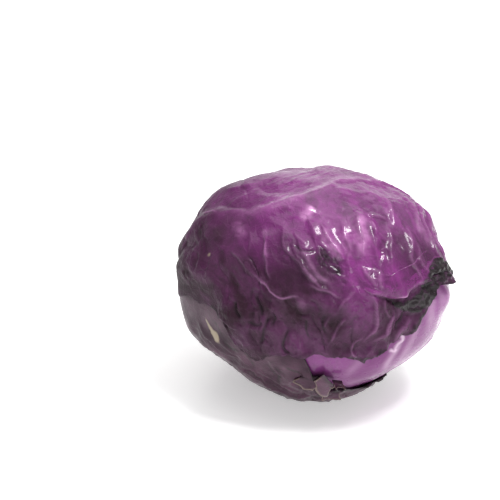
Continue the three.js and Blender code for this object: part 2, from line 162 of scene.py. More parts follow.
# The triangles between two rings of points, each ring a list of point numbers that goes once round.
def stitch(low, high):
    triangles = []
    a = b = 0
    n, m = len(low), len(high)
    while (n > 1 and a < n) or (m > 1 and b < m):
        next_low = (a + 1) / n if n > 1 else math.inf
        next_high = (b + 1) / m if m > 1 else math.inf
        if next_high <= next_low and b < m:
            triangles.append((low[a % n], high[(b + 1) % m], high[b % m]))
            b += 1
        else:
            triangles.append((low[(a + 1) % n], high[b % m], low[a % n]))
            a += 1
    return triangles


def make_piece(name, points, triangles, masks):
    mesh = bpy.data.meshes.new(name)
    mesh.from_pydata((points * 0.001).tolist(), [], triangles)
    mesh.update()
    for mask, values in masks.items():
        attribute = mesh.attributes.new(mask, "FLOAT", "POINT")
        attribute.data.foreach_set("value", np.clip(values, 0, 1).astype(np.float32))
    mesh.shade_smooth()
    piece = bpy.data.objects.new(name, mesh)
    bpy.context.collection.objects.link(piece)
    return piece


heart_dirs = [direction(np.array([0.0]), np.array([0.0]))]
heart_triangles = []
ring_before = [0]
ring_count = round(math.pi * 70 / HEART_SPACING)
placed_so_far = 1
for ring in range(1, ring_count):
    ring_rise = 180 * ring / ring_count
    around = max(8, round(2 * math.pi * 67 * math.sin(math.radians(ring_rise)) / HEART_SPACING))
    heart_dirs.append(direction(np.full(around, ring_rise), 360 * np.arange(around) / around))
    ring_here = list(range(placed_so_far, placed_so_far + around))
    heart_triangles += stitch(ring_before, ring_here)
    placed_so_far += around
    ring_before = ring_here
heart_dirs.append(direction(np.array([180.0]), np.array([0.0])))
heart_triangles += stitch(ring_before, [placed_so_far])
heart_dirs = np.concatenate(heart_dirs)

# The outermost inner leaves: rise and turn of each one's middle, its reach, and how proud its margin stands.
INNER_LEAVES = [
    (96, 112, 74, 0.5),
    (96, 236, 76, 0.5),
    (98, 350, 78, 0.5),
]
# Pale veins, and folds whose wet-looking crests carry a painted white glint, as places on the head by rise and
# turn.
HEART_VEINS = [
    ([(147, 122), (142, 127), (138, 131), (134, 137), (126, 158)], 2.2, 0.34),
    ([(166, 96), (165, 108), (162, 129), (154, 147)], 2.6, 0.26),
    ([(158, 112), (152, 126), (145, 137), (136, 150)], 2.2, 0.22),
    ([(131, 113), (124, 119), (118, 125), (112, 136)], 3.0, 0.14),
    ([(168, 60), (171, 100), (168, 140)], 2.0, 0.2),
    ([(140, 185), (152, 175), (163, 160)], 2.2, 0.2),
    ([(125, 190), (140, 200), (155, 205)], 2.2, 0.2),
]
HEART_PAINTED_GLINT_CRESTS = [
    ([(133, 114), (134, 115), (136, 114.5), (138, 116), (139.5, 115.5)], 1.0),
    ([(139.5, 123), (141, 126.5), (142, 123.5), (144, 121.5), (146.5, 121), (147, 114)], 0.9),
    ([(174, 70), (175, 100), (174, 128)], 0.7),
]
# Paler grey-pink patches, along the underside and near the crown: rise and turn of each middle, spread in
# degrees, strength.
HEART_PALE_PATCHES = [
    (110, 145, 7, 0.26), (122, 153, 7, 0.3), (138, 160, 8, 0.26), (168, 240, 14, 0.3), (158, 185, 12, 0.14),
]


# How far points are from a line of places, the share of its length that is behind them, and the side they are
# on, for a line drawn flat.
def beside_line(points, line):
    away = np.full(len(points), np.inf)
    behind, side = np.zeros(len(points)), np.ones(len(points))
    for i in range(len(line) - 1):
        along = line[i + 1] - line[i]
        t = np.clip((points - line[i]) @ along / (along @ along), 0, 1)
        off = points - line[i] - t[:, None] * along
        gap = np.linalg.norm(off, axis=1)
        nearer = gap < away
        away = np.where(nearer, gap, away)
        behind = np.where(nearer, (i + t) / (len(line) - 1), behind)
        side = np.where(nearer, np.sign(along[0] * off[:, 1] - along[1] * off[:, 0]), side)
    return away, behind, side


# A line drawn through places, as even steps of a smooth curve.
def drawn(places, steps):
    p = np.array(places, float)
    p = np.vstack([2 * p[0] - p[1], p, 2 * p[-1] - p[-2]])
    t = np.linspace(0, len(places) - 1, steps)
    i = np.minimum(t.astype(int), len(places) - 2)
    f = (t - i)[:, None]
    a, b, c, d = (p[i + k] for k in range(4))
    square, cube = 2 * a - 5 * b + 4 * c - d, 3 * b - a - 3 * c + d
    return 0.5 * (2 * b + (c - a) * f + square * f ** 2 + cube * f ** 3)


HEART_BALL = 67.0
heart_ball = heart_dirs * HEART_BALL
heart_offset = np.full(len(heart_dirs), -0.3)
for rise, turn, reach, step in INNER_LEAVES:
    inside = reach + 1.5 * waviness(heart_ball, 14, 5) - degrees_from(heart_dirs, direction(rise, turn))
    heart_offset -= step * (1 - ease(0, 2.2, inside)) * ease(-26, -6, inside)
heart_offset += 0.28 * waviness(heart_ball, 16, 3)
heart_pale_and_glints = np.zeros(len(heart_dirs))
for line, width, strength in HEART_VEINS:
    places = direction(*drawn(line, 20).T) * HEART_BALL
    away, behind, side = beside_line(heart_ball + 1.2 * waviness(heart_ball, 9, 6)[:, None], places)
    vein = ease(0, 0.15, behind) * ease(1, 0.6, behind) * bell(away, width)
    heart_offset += 0.3 * vein
    heart_pale_and_glints = np.maximum(heart_pale_and_glints, strength * vein)
# each crest is a small ridge with a painted white glint along it
for line, strength in HEART_PAINTED_GLINT_CRESTS:
    away, behind, side = beside_line(heart_ball, direction(*drawn(line, 24).T) * HEART_BALL)
    heart_offset += 0.7 * bell(away, 1.0)
    heart_pale_and_glints = np.maximum(heart_pale_and_glints, strength * bell(away, 0.95))
for rise, turn, spread, strength in HEART_PALE_PATCHES:
    near = bell(degrees_from(heart_dirs, direction(rise, turn)), spread)
    heart_pale_and_glints = np.maximum(heart_pale_and_glints, strength * near)
from_stem = degrees_from(heart_dirs, -AXIS)
heart_flush = 0.62 + 0.3 * waviness(heart_ball, 22, 11)
heart_flush += 0.3 * ease(140, 165, from_stem) - 0.5 * ease(40, 15, from_stem)
# painted shade, carried in the dry mask, darkens the heart where it shows below the top leaf's front margin
heart_painted_shade = 0.55 * bell(degrees_from(heart_dirs, direction(104, 122)), 9)
heart_look = {"flush": heart_flush, "pale": heart_pale_and_glints, "dry": heart_painted_shade, "scar": 0 * heart_pale_and_glints}
heart = make_piece("heart_leaves", placed(heart_dirs, np.minimum(heart_offset, 0.3)), heart_triangles, heart_look)


# The skin that all the leaves share: colour that drifts from dull to flushed, paler veins, dried edges, a
# faint net of small veins, and the fine grain of the wax. The pale vein colour also carries painted
# highlights, glints and sheens, and the dried colour also carries painted shade in creases and wrinkles.
def feed(tree, node, inputs):
    for socket, value in inputs.items():
        if isinstance(value, bpy.types.NodeSocket):
            tree.links.new(value, node.inputs[socket])
        else:
            node.inputs[socket].default_value = value


def add_node(tree, kind, inputs, **settings):
    node = tree.nodes.new("ShaderNode" + kind)
    for setting, value in settings.items():
        setattr(node, setting, value)
    feed(tree, node, inputs)
    return node


skin = bpy.data.node_groups.new("leaf_skin", "ShaderNodeTree")
for way, kind, sockets in (
    ("INPUT", "NodeSocketFloat", ("Flush", "Pale", "Dry", "Scar", "Gloss")),
    ("INPUT", "NodeSocketColor", [part + " Colour" for part in ("Flushed", "Dull", "Vein", "Dried", "Scar")]),
    ("OUTPUT", "NodeSocketColor", ("Colour",)),
    ("OUTPUT", "NodeSocketFloat", ("Roughness", "Wax", "Height")),
):
    for socket_name in sockets:
        skin.interface.new_socket(name=socket_name, in_out=way, socket_type=kind)
given = skin.nodes.new("NodeGroupInput").outputs
skin_place = skin.nodes.new("ShaderNodeTexCoord").outputs["Object"]


def skin_noise(scale, detail, roughness=0.5, distortion=0.0):
    inputs = {"Vector": skin_place, "Scale": scale, "Detail": detail, "Roughness": roughness}
    return add_node(skin, "TexNoise", inputs | {"Distortion": distortion}).outputs["Fac"]


def skin_math(operation, first, second, clamp=False):
    return add_node(skin, "Math", {0: first, 1: second}, operation=operation, use_clamp=clamp).outputs[0]


def skin_mix(share, first, second):
    return add_node(skin, "Mix", {0: share, 6: first, 7: second}, data_type="RGBA").outputs[2]


def skin_range(value, low, high, to_low, to_high):
    inputs = {"Value": value, "From Min": low, "From Max": high, "To Min": to_low, "To Max": to_high}
    return add_node(skin, "MapRange", inputs).outputs["Result"]


cloud = skin_noise(55.0, 4.0, 0.6, 0.4)
mottle = skin_noise(260.0, 3.0, 0.6)
grain = skin_noise(1500.0, 2.0)
net = add_node(skin, "TexVoronoi", {"Vector": skin_place, "Scale": 190.0}, feature="DISTANCE_TO_EDGE")
net_line = skin_range(net.outputs["Distance"], 0.0, 0.09, 1.0, 0.0)
flush_here = skin_math("ADD", given["Flush"], skin_range(cloud, 0.3, 0.7, -0.15, 0.15), True)
tone = skin_mix(flush_here, given["Dull Colour"], given["Flushed Colour"])
tone = skin_mix(skin_range(mottle, 0.35, 0.75, 0.0, 0.35), tone, given["Dull Colour"])
tone = skin_mix(skin_math("MULTIPLY", net_line, 0.008), tone, given["Vein Colour"])
tone = skin_mix(given["Pale"], tone, given["Vein Colour"])
dry_here = skin_math("MULTIPLY", given["Dry"], skin_range(mottle, 0.3, 0.6, 0.8, 1.15), True)
tone = skin_mix(dry_here, tone, given["Dried Colour"])
tone = skin_mix(given["Scar"], tone, given["Scar Colour"])
rough = skin_math("ADD", given["Gloss"], skin_range(mottle, 0.3, 0.7, -0.06, 0.08))
rough = skin_math("ADD", rough, skin_math("MULTIPLY", dry_here, 0.08))
rough = skin_math("SUBTRACT", rough, skin_math("MULTIPLY", flush_here, 0.1))
wax = skin_math("ADD", skin_range(flush_here, 0.0, 1.0, 0.03, 0.72), skin_math("MULTIPLY", given["Pale"], 0.5))
height = skin_math("ADD", skin_math("MULTIPLY", grain, 0.35), skin_math("MULTIPLY", mottle, 0.5))
height = skin_math("ADD", height, skin_math("MULTIPLY", net_line, 0.18))
feed(skin, skin.nodes.new("NodeGroupOutput"), {"Colour": tone, "Roughness": rough, "Wax": wax, "Height": height})


def leaf_material(name, flushed, dull, vein, dried, gloss, bump):
    material = bpy.data.materials.new(name)
    material.use_nodes = True
    tree = material.node_tree
    look = {"Gloss": gloss}
    for mask in ("Flush", "Pale", "Dry", "Scar"):
        look[mask] = add_node(tree, "Attribute", {}, attribute_name=mask.lower()).outputs["Fac"]
    colours = {"Flushed": flushed, "Dull": dull, "Vein": vein, "Dried": dried, "Scar": (0.36, 0.29, 0.21)}
    for part, colour in colours.items():
        look[part + " Colour"] = (*colour, 1)
    group = add_node(tree, "Group", {}, node_tree=skin)
    feed(tree, group, look)
    bumps = add_node(tree, "Bump", {"Strength": bump, "Distance": 0.0006, "Height": group.outputs["Height"]})
    feed(tree, tree.nodes["Principled BSDF"], {
        "Base Color": group.outputs["Colour"],
        "Roughness": group.outputs["Roughness"],
        "Specular IOR Level": 0.15,
        "Coat Weight": group.outputs["Wax"],
        "Coat Roughness": 0.17,
        "Normal": bumps.outputs["Normal"],
    })
    return material


heart.data.materials.append(
    leaf_material(
        "heart_skin",
        flushed=(0.265, 0.050, 0.250),
        dull=(0.12, 0.018, 0.105),
        # the heart's vein colour also gives the painted white glints on its crests
        vein=(0.74, 0.52, 0.70),
        # on the heart the dried colour is used only for painted shade
        dried=(0.03, 0.012, 0.02),
        gloss=0.36,
        bump=0.35,
    )
)
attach(heart, "root")
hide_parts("heart")


# The wrapper leaves. Three loose outer leaves grow from the stem and lie over one another round the heart:
# first the back leaf, then the leaf underneath, then the big one on top. Each is drawn flat, in degrees of
# arc round the middle of its blade, x towards its tip, and its midrib and side veins stand out of it.
BACK_LEAF = {
    "layer": 0,
    "place": (90, 262, 4),
    "outline": [
        (0, 67), (25, 75), (60, 74), (90, 72), (120, 76), (150, 75),
        (180, 72), (205, 70), (235, 62), (270, 53), (305, 53), (335, 58),
    ],
    "midrib": [(-77, 2), (-40, -3), (0, 0), (40, 6), (70, 9)],
    "midrib_height": 2.4,
    "vein_pairs": 6,
    "vein_height": 1.0,
    "waves": 1.2,
    "ruffle": 1.2,
    "loose": (0, 360),
    "seed": 21,
}
UNDER_LEAF = {
    "layer": 1,
    "place": (88, 172, 0),
    "outline": [
        (0, 34), (30, 44), (60, 62), (90, 72), (120, 76), (150, 73), (180, 71), (197, 82), (209, 100),
        (220, 103), (233, 99), (247, 90), (260, 80), (274, 72), (281, 67), (283.5, 59), (285.5, 51),
        (290, 45), (297, 40), (307, 35), (325, 32), (344, 32),
    ],
    "midrib": [(-75, 3), (-45, 5), (-10, 2), (18, -2), (36, -4)],
    "midrib_height": 2.2,
    "vein_pairs": 5,
    "vein_height": 0.7,
    "waves": 1.1,
    "ruffle": 1.0,
    "loose": (262, 302),
    "seed": 41,
}
TOP_LEAF = {
    "layer": 2,
    "place": (92, 25, -8),
    "outline": [
        (0, 87), (10, 84), (19, 80), (27, 82), (36, 86), (45, 88), (53, 89), (62, 88.5), (68, 85),
        (74, 82.5), (82, 79.5), (90, 78.5), (97, 77.5), (105, 80), (113, 83), (121, 77), (126, 71),
        (131, 67.5), (138, 65), (146, 65.5), (153, 67), (160, 71), (168, 76), (178, 76), (190, 73),
        (203, 69), (218, 72), (238, 80), (262, 83), (290, 84), (318, 86), (340, 88),
    ],
    "midrib": [(-78, 4), (-56, -4), (-34, -1), (-18, 4), (-1, 3), (14, -8), (26, -22), (46, -33), (68, -37)],
    "midrib_height": 2.4,
    "vein_pairs": 8,
    "vein_height": 0.4,
    "waves": 1.3,
    "ruffle": 1.6,
    "loose": (2, 95),
    "seed": 61,
}
LEAVES = [BACK_LEAF, UNDER_LEAF, TOP_LEAF]
LEAF_EDGE = 0.6
COVER_PAD = 4.0
COVER_FADE = 9.0
BLADE_REACH = 92.0
BALL = 70.0


# The leaf's own axes: out through the middle of its blade, towards its tip, and towards a larger turn.
def leaf_axes(leaf):
    rise, turn, lean = leaf["place"]
    centre = direction(float(rise), float(turn))
    forward = direction(rise + 90.0, float(turn))
    sideways = np.cross(forward, centre)
    tip = forward * math.cos(math.radians(lean)) + sideways * math.sin(math.radians(lean))
    return centre, tip, np.cross(tip, centre)


def wrapped(leaf, x, y):
    centre, tip, side = leaf_axes(leaf)
    reach = np.hypot(x, y)[:, None]
    slope = np.sin(np.radians(reach)) / np.maximum(reach, 1e-6)
    return np.cos(np.radians(reach)) * centre + slope * (x[:, None] * tip + y[:, None] * side)


def unwrapped(leaf, d):
    centre, tip, side = leaf_axes(leaf)
    reach = degrees_from(d, centre)
    angle = np.arctan2(d @ side, d @ tip)
    return reach * np.cos(angle), reach * np.sin(angle)


# The reach of a leaf's outline at an angle, on a smooth closed curve through its points.
def reach_at(leaf, angle):
    points = np.array(leaf["outline"], float)
    count = len(points)
    angles = np.concatenate([points[:, 0] - 360, points[:, 0], points[:, 0] + 360])
    reaches = np.tile(points[:, 1], 3)
    a = np.mod(angle, 360)
    i = np.clip(np.searchsorted(angles, a, side="right"), 2, 3 * count - 2)
    a0, a1, a2, a3 = (angles[i + k] for k in (-2, -1, 0, 1))
    r0, r1, r2, r3 = (reaches[i + k] for k in (-2, -1, 0, 1))
    t = (a - a1) / (a2 - a1)
    slope1 = (r2 - r0) / (a2 - a0) * (a2 - a1)
    slope2 = (r3 - r1) / (a3 - a1) * (a2 - a1)
    return (
        (2 * t ** 3 - 3 * t ** 2 + 1) * r1
        + (t ** 3 - 2 * t ** 2 + t) * slope1
        + (3 * t ** 2 - 2 * t ** 3) * r2
        + (t ** 3 - t ** 2) * slope2
    )


def inside_margin(leaf, x, y):
    return reach_at(leaf, np.degrees(np.arctan2(y, x))) - np.hypot(x, y)


# 1 where a leaf lies, falling to 0 past its margin.
def cover(leaf, d, pad=COVER_PAD):
    return ease(-pad - COVER_FADE, -pad, inside_margin(leaf, *unwrapped(leaf, d)))


# A vein is a line, a height in millimetres and a width.
def leaf_veins(leaf):
    midrib = drawn(leaf["midrib"], 25)
    veins = [(midrib, leaf["midrib_height"], 5.0)]
    for pair in range(leaf["vein_pairs"]):
        for side in (-1, 1):
            along = (pair + 0.6 + 0.25 * side) / (leaf["vein_pairs"] + 0.6)
            start = min(22, round(22 * along))
            way = midrib[start + 1] - midrib[start]
            heading = math.degrees(math.atan2(way[1], way[0])) + side * (68 - 34 * along)
            line = [midrib[start]]
            for step in range(10):
                turned = math.radians(heading)
                spot = line[-1] + 8 * np.array([math.cos(turned), math.sin(turned)])
                if inside_margin(leaf, spot[:1], spot[1:])[0] < 3:
                    break
                line.append(spot)
                heading -= side * 3.4
                if step in (2, 4, 6) and pair % 2 == step // 2 % 2:
                    fork = math.radians(heading + side * 26)
                    branch = [spot + k * 7 * np.array([math.cos(fork), math.sin(fork)]) for k in range(4)]
                    veins.append((np.array(branch), 0.45, 1.5))
            if len(line) > 1:
                veins.append((np.array(line), leaf["vein_height"], 2.4))
    return veins


for leaf in LEAVES:
    leaf["veins"] = leaf_veins(leaf)


# How high the veins stand at flat places, in millimetres, and how pale they make the skin.
def vein_relief(leaf, flat):
    high, pale = np.zeros(len(flat)), np.zeros(len(flat))
    for line, height, width in leaf["veins"]:
        away, behind, side = beside_line(flat, line)
        tapered = 1 - 0.65 * behind
        across = away * MM_PER_DEGREE / (width * (1 - 0.5 * behind))
        high = np.maximum(high, height * tapered * bell(across, 1))
        pale = np.maximum(pale, min(1, 0.1 + 0.35 * height) * tapered * bell(across, 0.45))
    return high, pale


# A disc of points in rings, finer near its rim, with triangles between the rings.
def ring_disc(reach, spacing, edge_spacing, edge_width, rim):
    shares = list(np.arange(spacing, reach - edge_width, spacing) / reach)
    shares += list(np.linspace(1 - edge_width / reach, 1, round(edge_width / edge_spacing) + 1))
    share, angle = [0.0], [0.0]
    triangles = []
    inner = [0]
    for radius in shares:
        around = max(6, round(rim * radius * min(1, edge_spacing * 1.7 / spacing)))
        if radius * reach > reach - edge_width - 0.1:
            around = rim
        outer = list(range(len(share), len(share) + around))
        share += [radius] * around
        angle += list(360 * np.arange(around) / around)
        triangles += [(a, c, b) for a, b, c in stitch(inner, outer)]
        inner = outer
    return np.array(share), np.array(angle), triangles, inner


# Both faces of a blade and the rim between them. relief() gives what a leaf has of its own at flat places.
def blade(leaf, relief, spacing):
    rim = round(2 * math.pi * BLADE_REACH / spacing)
    points, triangles, looks, edges = [], [], [], []
    for face, face_spacing, edge_spacing in (("outer", spacing, 0.6), ("inner", 2.4, 0.9)):
        share, angle, face_triangles, edge = ring_disc(BLADE_REACH, face_spacing, edge_spacing, 7.0, rim)
        turned = np.radians(angle)
        circle = np.stack([np.cos(turned), np.sin(turned), 0 * turned], axis=1) * 90
        jag = leaf["waves"] * (0.6 * np.sin(13 * turned) + 0.4 * np.sin(29 * turned + 1.1))
        jag = jag + 0.9 * waviness(circle, 7.0, leaf["seed"]) + 0.5 * waviness(circle, 2.6, leaf["seed"] + 1)
        reach = share * (reach_at(leaf, angle) + jag * share ** 6)
        d, low, high, look = leaf_faces(leaf, relief, reach * np.cos(turned), reach * np.sin(turned))
        start = sum(len(each) for each in points)
        if face == "outer":
            points.append(placed(d, high))
            triangles += face_triangles
        else:
            points.append(placed(d, low))
            triangles += [(a + start, c + start, b + start) for a, b, c in face_triangles]
        looks.append(look)
        edges.append([start + number for number in edge])
    for i in range(rim):
        a, b = edges[0][i], edges[0][(i + 1) % rim]
        c, e = edges[1][i], edges[1][(i + 1) % rim]
        triangles += [(a, c, b), (b, c, e)]
    masks = {mask: np.concatenate([each[mask] for each in looks]) for mask in look}
    return np.concatenate(points), triangles, masks


# 1 where a margin stands loose, between its two angles round the blade, and less where it lies on the head.
def looseness(leaf, angle):
    start, end = leaf["loose"]
    if end - start == 360:
        return np.ones(len(angle))
    turned = np.mod(angle - start, 360)
    return 0.15 + 0.85 * ease(0, 12, turned) * ease(end - start, end - start - 12, turned)


# What a blade's two faces stand above the bare head at flat places, and how the skin looks there.
def leaf_faces(leaf, relief, x, y):
    d = wrapped(leaf, x, y)
    low = np.full(len(x), LAYER_GAP)
    bare = 1 - ease(32, 20, degrees_from(d, DOWN))
    for below in LEAVES[:leaf["layer"]]:
        low += cover(below, d) * (LEAF_THICKNESS + LAYER_GAP)
    for above in LEAVES[leaf["layer"] + 1:]:
        bare *= 1 - cover(above, d, COVER_PAD + 5)
    inside = np.maximum(0, inside_margin(leaf, x, y))
    angle = np.arctan2(y, x)
    edge = 1 - ease(0, 13, inside)
    ripple = np.sin(11 * angle + 0.8) * 0.6 + np.sin(19 * angle + 2.3) * 0.4
    loose = looseness(leaf, np.degrees(angle))
    veins, pale = vein_relief(leaf, strayed(leaf, np.stack([x, y], axis=1), d * BALL))
    own = relief(x, y, d, inside, bare)
    low += bare * edge * edge * leaf["ruffle"] * loose * (1 + ripple)
    low += own["lift"] * bare * (1 - edge * (1 - loose)) - own.get("sink", 0)
    thick = LEAF_THICKNESS + (LEAF_EDGE - LEAF_THICKNESS) * ease(8, 0.5, inside)
    high = low + np.maximum(0.35, thick + bare * (veins * (1 - 0.6 * edge) + own["height"]))
    look = {
        "flush": own["flush"],
        "pale": np.maximum(pale * own["vein"], own.get("pale", 0)),
        "dry": own["dry"],
        "scar": own.get("scar", 0 * x),
    }
    return d, low, high, look


# Soft flutes between the side veins and small creases across them, which every wrapper leaf has.
def leaf_creases(leaf, x, y, d, flute_size=9.0, crease_size=9.0):
    sideways = np.abs(y - np.interp(x, *np.array(leaf["midrib"], float).T))
    across = x - 0.5 * sideways + 1.6 * waviness(d * BALL, 13, leaf["seed"] + 9)
    flutes = crumple(np.stack([across, sideways * 0.2, 0 * x], axis=1), flute_size, leaf["seed"] + 2, 2)
    return flutes, crumple(d * BALL, crease_size, leaf["seed"] + 5)


# Narrow wrinkles that wind about, and come and go.
def wrinkles(points, size, seed, width=0.16):
    winding = waviness(points, size, seed) + 0.4 * waviness(points, size / 2.1, seed + 1)
    present = ease(-0.15, 0.3, waviness(points, size * 1.4, seed + 2))
    return bell(winding, width) * present


# Creases pressed inward, with painted shade darkening their bottoms.
def grooves(flat, lines):
    depth, painted_crease_shade = np.zeros(len(flat)), np.zeros(len(flat))
    for places, deep in lines:
        away, behind, side = beside_line(flat, drawn(places, 16))
        ends = ease(0, 0.2, behind) * ease(1, 0.75, behind)
        depth = depth + deep * ends * bell(away, 1.1)
        painted_crease_shade = np.maximum(painted_crease_shade, min(1, deep) * ends * bell(away, 0.9))
    return depth, painted_crease_shade


# Flat places shifted a little at random, so that no fold runs straight.
def strayed(leaf, flat, ball):
    return flat + 1.1 * np.stack([waviness(ball, 6.5, leaf["seed"] + way) for way in (11, 12)], axis=1)


def finished_leaf(name, node, leaf, relief, material, spacing=1.0, extra=()):
    points, triangles, masks = blade(leaf, relief, spacing)
    for more_points, more_triangles, more_masks in extra:
        start = len(points)
        triangles = triangles + [tuple(start + corner for corner in t) for t in more_triangles]
        points = np.concatenate([points, more_points])
        masks = {mask: np.concatenate([masks[mask], more_masks[mask]]) for mask in masks}
    piece = make_piece(name, points, triangles, masks)
    piece.data.materials.append(material)
    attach(piece, "root")
    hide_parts(node)


# The back leaf. Hidden from the front, dark and glossy, with soft flutes and a thin dried rim.
def back_relief(x, y, d, inside, bare):
    ball = d * BALL
    flutes, fine = leaf_creases(BACK_LEAF, x, y, d)
    edge = ease(6, 0, inside)
    return {
        "height": 0.45 * flutes + 0.2 * fine + 0.6 * edge * waviness(ball, 5, 31),
        "lift": 0.8 * edge * (1 + waviness(ball, 6, 33)),
        # more flushed on the flute crests and duller in their hollows: painted light and shade
        "flush": 0.35 + 0.3 * waviness(ball, 30, 35) + 0.15 * flutes,
        "dry": ease(2.2, 0.3, inside + 1.2 * waviness(ball, 4, 36)) * 0.9,
        "vein": 0.8,
    }


finished_leaf(
    "back_leaf_blade",
    "back_leaf",
    BACK_LEAF,
    back_relief,
    leaf_material(
        "back_leaf_skin",
        flushed=(0.11, 0.016, 0.085),
        dull=(0.034, 0.009, 0.024),
        vein=(0.24, 0.09, 0.19),
        dried=(0.014, 0.008, 0.009),
        gloss=0.4,
        bump=0.5,
    ),
)


# The under leaf. The head lies on it. It is dull and dark, folded along its edge by the weight, and its
# margin is torn into small scraps that curl away at the front. A drop-shaped scar of dry tan cork runs along
# a vein.
UNDER_FOLDS = [
    # places along it, height in millimetres, how sharply its far side drops, width, painted highlight on its
    # crest
    ([(-70, -50), (-62, -54), (-54, -53), (-45, -52), (-35, -54), (-27, -53)], 1.6, 0.9, 4.5, 0.35),
    ([(-62, -38), (-56, -39.5), (-48.5, -43.5), (-41, -46)], 1.1, 0.8, 3.0, 0.6),
    ([(-39, -72), (-35, -69.5), (-30.5, -69), (-27, -68), (-23, -66)], 1.5, 0.7, 2.4, 0.8),
    ([(-58, -64), (-49, -60), (-40, -58), (-30, -56), (-18, -53)], 0.7, 0.8, 3.0, 0.2),
    ([(-10, -74), (-18, -68), (-26, -59)], 1.0, 0.7, 3.0, 0.3),
    ([(-27, -67), (-22, -62), (-14, -60), (-4, -60), (4, -62)], 1.0, 0.8, 3.0, 0.2),
    ([(-12.5, -62), (-10.5, -60.5), (-7.5, -55.5), (-5, -52)], 1.2, 0.6, 2.2, 1.0),
    ([(-9, -41.5), (0, -50), (8, -53.5)], 1.3, 0.7, 3.4, 0.3),
    ([(-36, -44), (-24, -43), (-12, -37), (0, -32), (12, -27)], 1.5, 0.9, 4.4, 0.2),
    ([(-20, -50), (-12, -47), (-4, -41), (4, -37)], 1.0, 0.7, 2.6, 0.3),
    ([(5, -45), (12, -38), (16, -31), (19, -25)], 1.2, 0.6, 2.6, 0.5),
]
UNDER_GROOVES = [
    ([(-41, -61.5), (-38.5, -60), (-34, -59), (-29, -61)], 1.5),
    ([(-25, -62), (-22.5, -57.5), (-21, -53)], 1.3),
    ([(-6.5, -53), (-7.3, -50), (-9, -41)], 1.3),
    ([(-50, -68), (-44, -66), (-41, -63)], 0.9),
    ([(0, -60), (6, -57), (9, -53)], 1.0),
]
SCAR = [(-55, -62), (-51.5, -61), (-48.5, -60), (-46, -59.5)]


# A fold: a sharp crest whose far side, to the left along the line, falls away at once and its near side
# slowly.
def fold_relief(flat, line, height, sharp, slow):
    away, behind, side = beside_line(flat, line)
    ends = ease(0, 0.3, behind) * ease(1, 0.65, behind)
    reach = np.where(side > 0, sharp, slow * (0.4 + 0.6 * ends))
    return height * ends * np.exp(-((away / reach) ** 1.35)), away, ends


def under_relief(x, y, d, inside, bare):
    flat = np.stack([x, y], axis=1)
    ball = d * BALL
    flutes, fine = leaf_creases(UNDER_LEAF, x, y, d)
    edge = ease(6, 0, inside)
    wrinkled = wrinkles(ball, 8, 57)
    height = 0.8 * flutes + 0.6 * fine + 0.5 * edge * waviness(ball, 5, 51) - 0.9 * wrinkled
    height = height + 1.0 * waviness(ball, 15, 52) + 0.6 * waviness(ball, 7, 50)
    pale = 0.12 * ease(0.0, 0.6, waviness(ball, 8, 59))
    wandering = strayed(UNDER_LEAF, flat, ball)
    for places, high, sharp, slow, painted_crest_light in UNDER_FOLDS:
        fold, away, ends = fold_relief(wandering, drawn(places, 16), high, sharp, slow)
        height = height + fold
        # a painted highlight along the fold's crest
        pale = np.maximum(pale, 0.6 * painted_crest_light * ends * bell(away, 0.8))
    height = height + 1.6 * ease(-58, -70, x) * ease(-20, -44, y)
    depth, painted_crease_shade = grooves(wandering, UNDER_GROOVES)
    scar_away, scar_behind, side = beside_line(flat, drawn(SCAR, 12))
    scar = ease(0.4, -0.4, scar_away - (0.5 + 2.5 * scar_behind ** 1.4))
    height = height - depth + 0.25 * scar * (1 + 0.5 * waviness(ball, 1.5, 53))
    dry = ease(2.4, 0.2, inside + 1.4 * waviness(ball, 4, 56)) * 0.85
    return {
        "height": height,
        "lift": 0.9 * edge * (1 + waviness(ball, 5, 54)),
        # more flushed on the flute crests and duller in their hollows: painted light and shade
        "flush": 0.42 + 0.3 * waviness(ball, 16, 55) + 0.2 * flutes + 0.25 * waviness(ball, 6, 58),
        # the dry mask here also carries painted shade, in the groove bottoms and along the pressed-in wrinkles
        "dry": np.maximum(np.maximum(dry, 0.8 * painted_crease_shade), 0.4 * wrinkled),
        "pale": pale,
        "scar": scar,
        "vein": 0.45,
    }


# The torn scraps, each with the flat places and heights of its four corners: two where it is rooted in the
# blade, then two at its free end. Then how much it curls, and how flushed it is.
UNDER_SCRAPS = [
    (((8, -54, -1.0), (17, -50.5, -1.0), (2.5, -52.5, 1.8), (11, -44, 2.8)), 1.0, 0.45),
    (((20.5, -53, 0.6), (22, -43, 1.6), (12.3, -50.5, 3.2), (14.6, -35.2, 4.4)), -1.2, 0.95),
    (((18.5, -45, -0.8), (21.5, -38, -0.8), (17.5, -50, 1.4), (20.5, -42.5, 2.0)), 0.5, 0.5),
    (((22.5, -45, 0.0), (26.5, -41, 0.0), (23, -42.5, 2.8), (27, -39.5, 2.4)), 1.8, 0.9),
    (((13, -38, -0.6), (21, -30, -0.6), (11, -30, 1.2), (17.5, -24, 1.4)), 0.9, 0.6),
]


# A closed thin strip: how far along and across each of its points is, and the triangles of its faces and rim.
def strip_grid(columns, rows):
    along, across = np.meshgrid(np.linspace(0, 1, columns), np.linspace(0, 1, rows), indexing="ij")
    count = columns * rows
    number = np.arange(count).reshape(columns, rows)
    triangles = []
    for i in range(columns - 1):
        for j in range(rows - 1):
            a, b, c, e = (int(number[i + k, j + m]) for k, m in ((0, 0), (1, 0), (1, 1), (0, 1)))
            triangles += [(a, b, c), (a, c, e)]
            triangles += [(a + count, c + count, b + count), (a + count, e + count, c + count)]
    ring = [int(n) for n in (*number[:, 0], *number[-1, 1:], *number[-2::-1, -1], *number[0, -2:0:-1])]
    for a, b in zip(ring, ring[1:] + ring[:1]):
        triangles += [(b, a, a + count), (b, a + count, b + count)]
    return along.ravel(), across.ravel(), triangles


